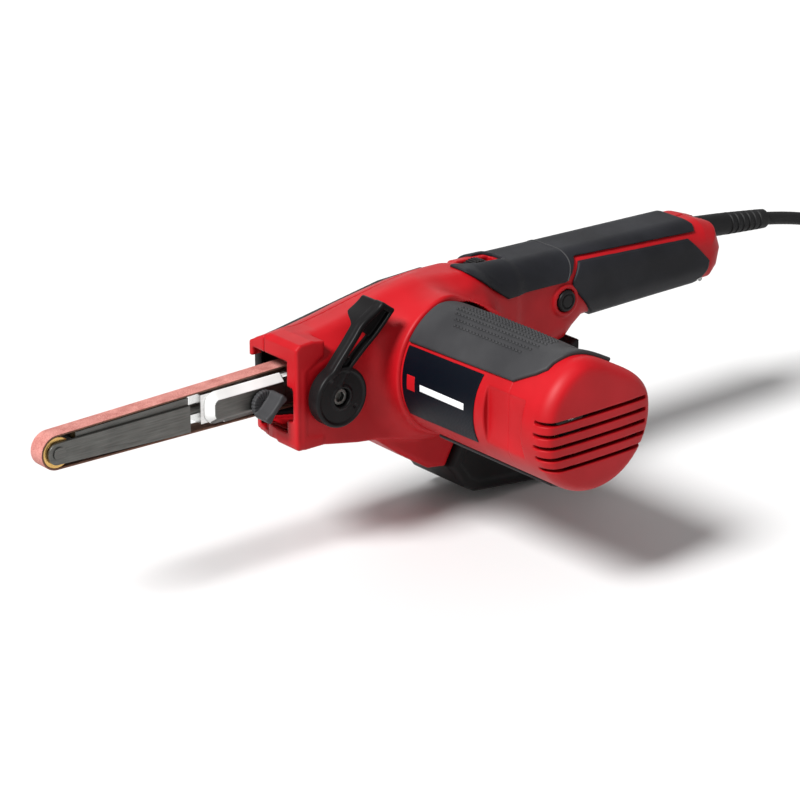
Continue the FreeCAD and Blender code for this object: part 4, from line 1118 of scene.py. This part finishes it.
def make_housing_screws():
    """Pan heads with six-lobe sockets down in the far shell's wells, and their shanks."""
    def field(x, y, z):
        whole = None
        for sx, sz in SCREW_PLACES:
            radius = np.hypot(x - sx, z - sz)
            turn = np.arctan2(z - sz, x - sx)
            head = drawn(radius - 3.0, span(y, 10.0, 12.4), 0.7)
            socket = np.maximum(radius - 1.35 - 0.28 * np.cos(turn * 6), 11.0 - y)
            thread = 0.16 * np.sin(y * 2 * math.pi / 1.4 + turn)
            screw = join(carve(head, socket, 0.15), drawn(radius - 1.4 + thread, span(y, -10, 10.4), 0.4))
            whole = screw if whole is None else np.minimum(whole, screw)
        return whole

    parts = [(modelled("screw", field, (sx - 3, -10, sz - 3), (sx + 3, 12.4, sz + 3), 0.3), 0)
             for sx, sz in SCREW_PLACES]
    joined = merged("case_screws", parts)
    joined.shade_smooth()
    piece("case_screws", joined, "housing", "zinc_screw", ("housing_screws",))


# ---- arm

KNOB_X, KNOB_Z = 112.5, -2.5
KNOB_LEAN = math.radians(45)
PLATE_FACE, PLATE_BACK, PLATE_BEVEL = -9.0, -4.72, 3.4


def knob_field(x, y, z):
    """The tracking knob: a knurled flange and a tall grip wing with hollowed faces."""
    turn = np.arctan2(z - KNOB_Z, x - KNOB_X)
    flange = disc(x, y, z, KNOB_X, KNOB_Z, 6.8, -12.0, -9.3, 0.7) - 0.15 * np.cos(turn * 24)
    along, across = leaning(x, z, KNOB_X, KNOB_Z, KNOB_LEAN)
    thick = 2.15 - 0.7 * ease(along, -6.5, -2.5) * ease(-along, -6.5, -2.5)
    wing = drawn(drawn(np.abs(across) - thick, np.abs(along) - 7.5, 1.2), span(y, -20.9, -11.0), 0.9)
    knob = join(flange, wing, 0.9)
    return carve(knob, disc(x, y, z, KNOB_X, KNOB_Z, 2.55, -11.8, 0))


def make_knob():
    shaped("tracking_wheel", knob_field, (104.5, -21, -10.5), (120.5, -9.3, 5.5), 0.3,
           "adjuster", "black_plastic", ("tracking_knob",), DARK_RUBBER)


def carrier_field(x, y, z):
    """The carrier plate: a thin rear part, and a thick front whose near edges are bevelled."""
    face = drawn(span(x, 82, 140), span(z, -7.8, 8.4), 6.0)
    front = drawn(face, span(y, PLATE_FACE, PLATE_BACK), 0.3)
    front = keep_both(front, (face - y + PLATE_FACE + PLATE_BEVEL) * math.sqrt(0.5), 0.4)
    front = keep_both(front, x - 126.0, 0.3)
    return join(front, block(x, y, z, 92, 145, -6.7, PLATE_BACK, -7.8, 6.4, 0.4), 0.3)


def make_carrier_plate():
    """Dark on its broad face as painted shade, with a pale painted highlight on the bevelled edge faces that
    turn up or forwards, towards the key light.
    """
    mesh = modelled("carrier_panel", carrier_field, (82, -9, -7.8), (145, -4.7, 8.4), 0.35)
    mesh.materials.append(DARK_STEEL)
    mesh.materials.append(HIGHLIGHT_STEEL)
    normals = np.empty(3 * len(mesh.polygons), dtype=np.float32)
    mesh.polygons.foreach_get("normal", normals)
    # painted highlight: faces turned up or forwards, towards the key light, take the pale steel; the rest
    # keep the dark steel as painted shade
    lit_faces = (np.abs(normals[1::3]) < 0.9) & ((normals[2::3] > 0.2) | (normals[0::3] < -0.45))
    mesh.polygons.foreach_set("material_index", lit_faces.astype(np.int32))
    piece("carrier_panel", mesh, "arm", "dark_steel", ("carrier_plate",))


BELT_GAP = 0.05
TIP_RADIUS, DRIVE_RADIUS, ROLLER_DISTANCE = 7.45, 11.95, 234.25
# (across, height over the inner face) of the belt's section; the grit covers the sides after these corners
BELT_SECTION = [(-4.5, 0.15), (-4.35, 0.0), (4.35, 0.0), (4.5, 0.15), (4.5, 0.85), (4.35, 1.0), (-4.35, 1.0),
                (-4.5, 0.85)]
BELT_GRIT_CORNERS = (4, 5, 6)


def belt_line(extra, count):
    """Points round the belt's loop at a distance outside its inner face, anticlockwise from above the tip."""
    small, large = TIP_RADIUS + BELT_GAP, DRIVE_RADIUS + BELT_GAP
    lean = math.asin((large - small) / ROLLER_DISTANCE)
    points = []
    for step in range(count + 1):
        angle = math.pi / 2 + lean + (math.pi - 2 * lean) * step / count
        points.append((math.cos(angle) * (small + extra), math.sin(angle) * (small + extra)))
    for step in range(count + 1):
        angle = -math.pi / 2 - lean + (math.pi + 2 * lean) * step / count
        points.append((ROLLER_DISTANCE + math.cos(angle) * (large + extra),
                       math.sin(angle) * (large + extra)))
    return points


def make_belt():
    """The sanding belt: grit outside, cloth inside and on the cut edges."""
    loops = [belt_line(rise, 40) for _, rise in BELT_SECTION]
    stations, size = len(loops[0]), len(BELT_SECTION)
    points, faces, slots = [], [], []
    for station in range(stations):
        for (across, _), line in zip(BELT_SECTION, loops):
            x, z = line[station]
            points.append(place(x, across, z))
    for station in range(stations):
        after = (station + 1) % stations
        for corner in range(size):
            other = (corner + 1) % size
            faces.append((station * size + corner, station * size + other, after * size + other,
                          after * size + corner))
            slots.append(0 if corner in BELT_GRIT_CORNERS else 1)
    mesh = bpy.data.meshes.new("abrasive_belt")
    mesh.from_pydata(points, [], faces)
    mesh.materials.append(GRIT)
    mesh.materials.append(BACKING)
    mesh.polygons.foreach_set("material_index", slots)
    shape = bmesh.new()
    shape.from_mesh(mesh)
    bmesh.ops.recalc_face_normals(shape, faces=shape.faces)
    shape.to_mesh(mesh)
    shape.free()
    mesh.shade_smooth()
    mesh.set_sharp_from_angle(angle=math.radians(35))
    piece("abrasive_belt", mesh, "housing", "abrasive_cloth", ("sanding_belt",))


# bevel widths, in millimetres, and the CAD nodes that take them
SOFT_EDGES = {
    0.25: ["platen"],
    0.3: ["fork_rod", "tip_axle", "tip_roller", "tracking_screw", "release_cam", "brush_holders",
          "carbon_brushes", "motor_front_bearing", "motor_rear_bearing", "roller_bearings"],
    0.35: ["fork_plate_near", "fork_plate_far"],
    0.4: ["drive_roller", "drive_shaft", "arm_guide", "bearing_plate", "roller_support", "armature_shaft",
          "stator_core", "rear_bearing_bridge", "speed_module"],
    0.5: ["arm_carrier"],
    0.8: ["switch_module"],
}
PLAIN_FINISH = {
    "rear_bearing_bridge": BLACK_PLASTIC, "motor_rear_bearing": DARK_STEEL, "tip_axle": DARK_STEEL,
}


def finish_cad_nodes():
    """Materials for the CAD nodes that stay, and softened edges on the plain machined ones."""
    slot_of = {row["node"]: row["material_slot"] for row in frame["record"]["subparts"]}
    width_of = {name: width for width, names in SOFT_EDGES.items() for name in names}
    for name, node in frame["nodes"].items():
        node.data.materials.clear()
        node.data.materials.append(PLAIN_FINISH.get(name, SLOT_FINISH[slot_of[name]]))
        if name in width_of:
            weld = node.modifiers.new("weld", "WELD")
            weld.merge_threshold = 0.00001
            bevel = node.modifiers.new("bevel", "BEVEL")
            bevel.width = width_of[name] * MM
            bevel.segments = 2
            bevel.limit_method = "ANGLE"
            bevel.angle_limit = math.radians(40)
            bevel.harden_normals = False


make_camera()
make_studio()
make_lead()
finish_cad_nodes()
make_shells()
make_cover()
make_motor_housing()
make_handle()
make_controls()
make_duct()
make_lever()
make_housing_screws()
make_knob()
make_carrier_plate()
make_belt()
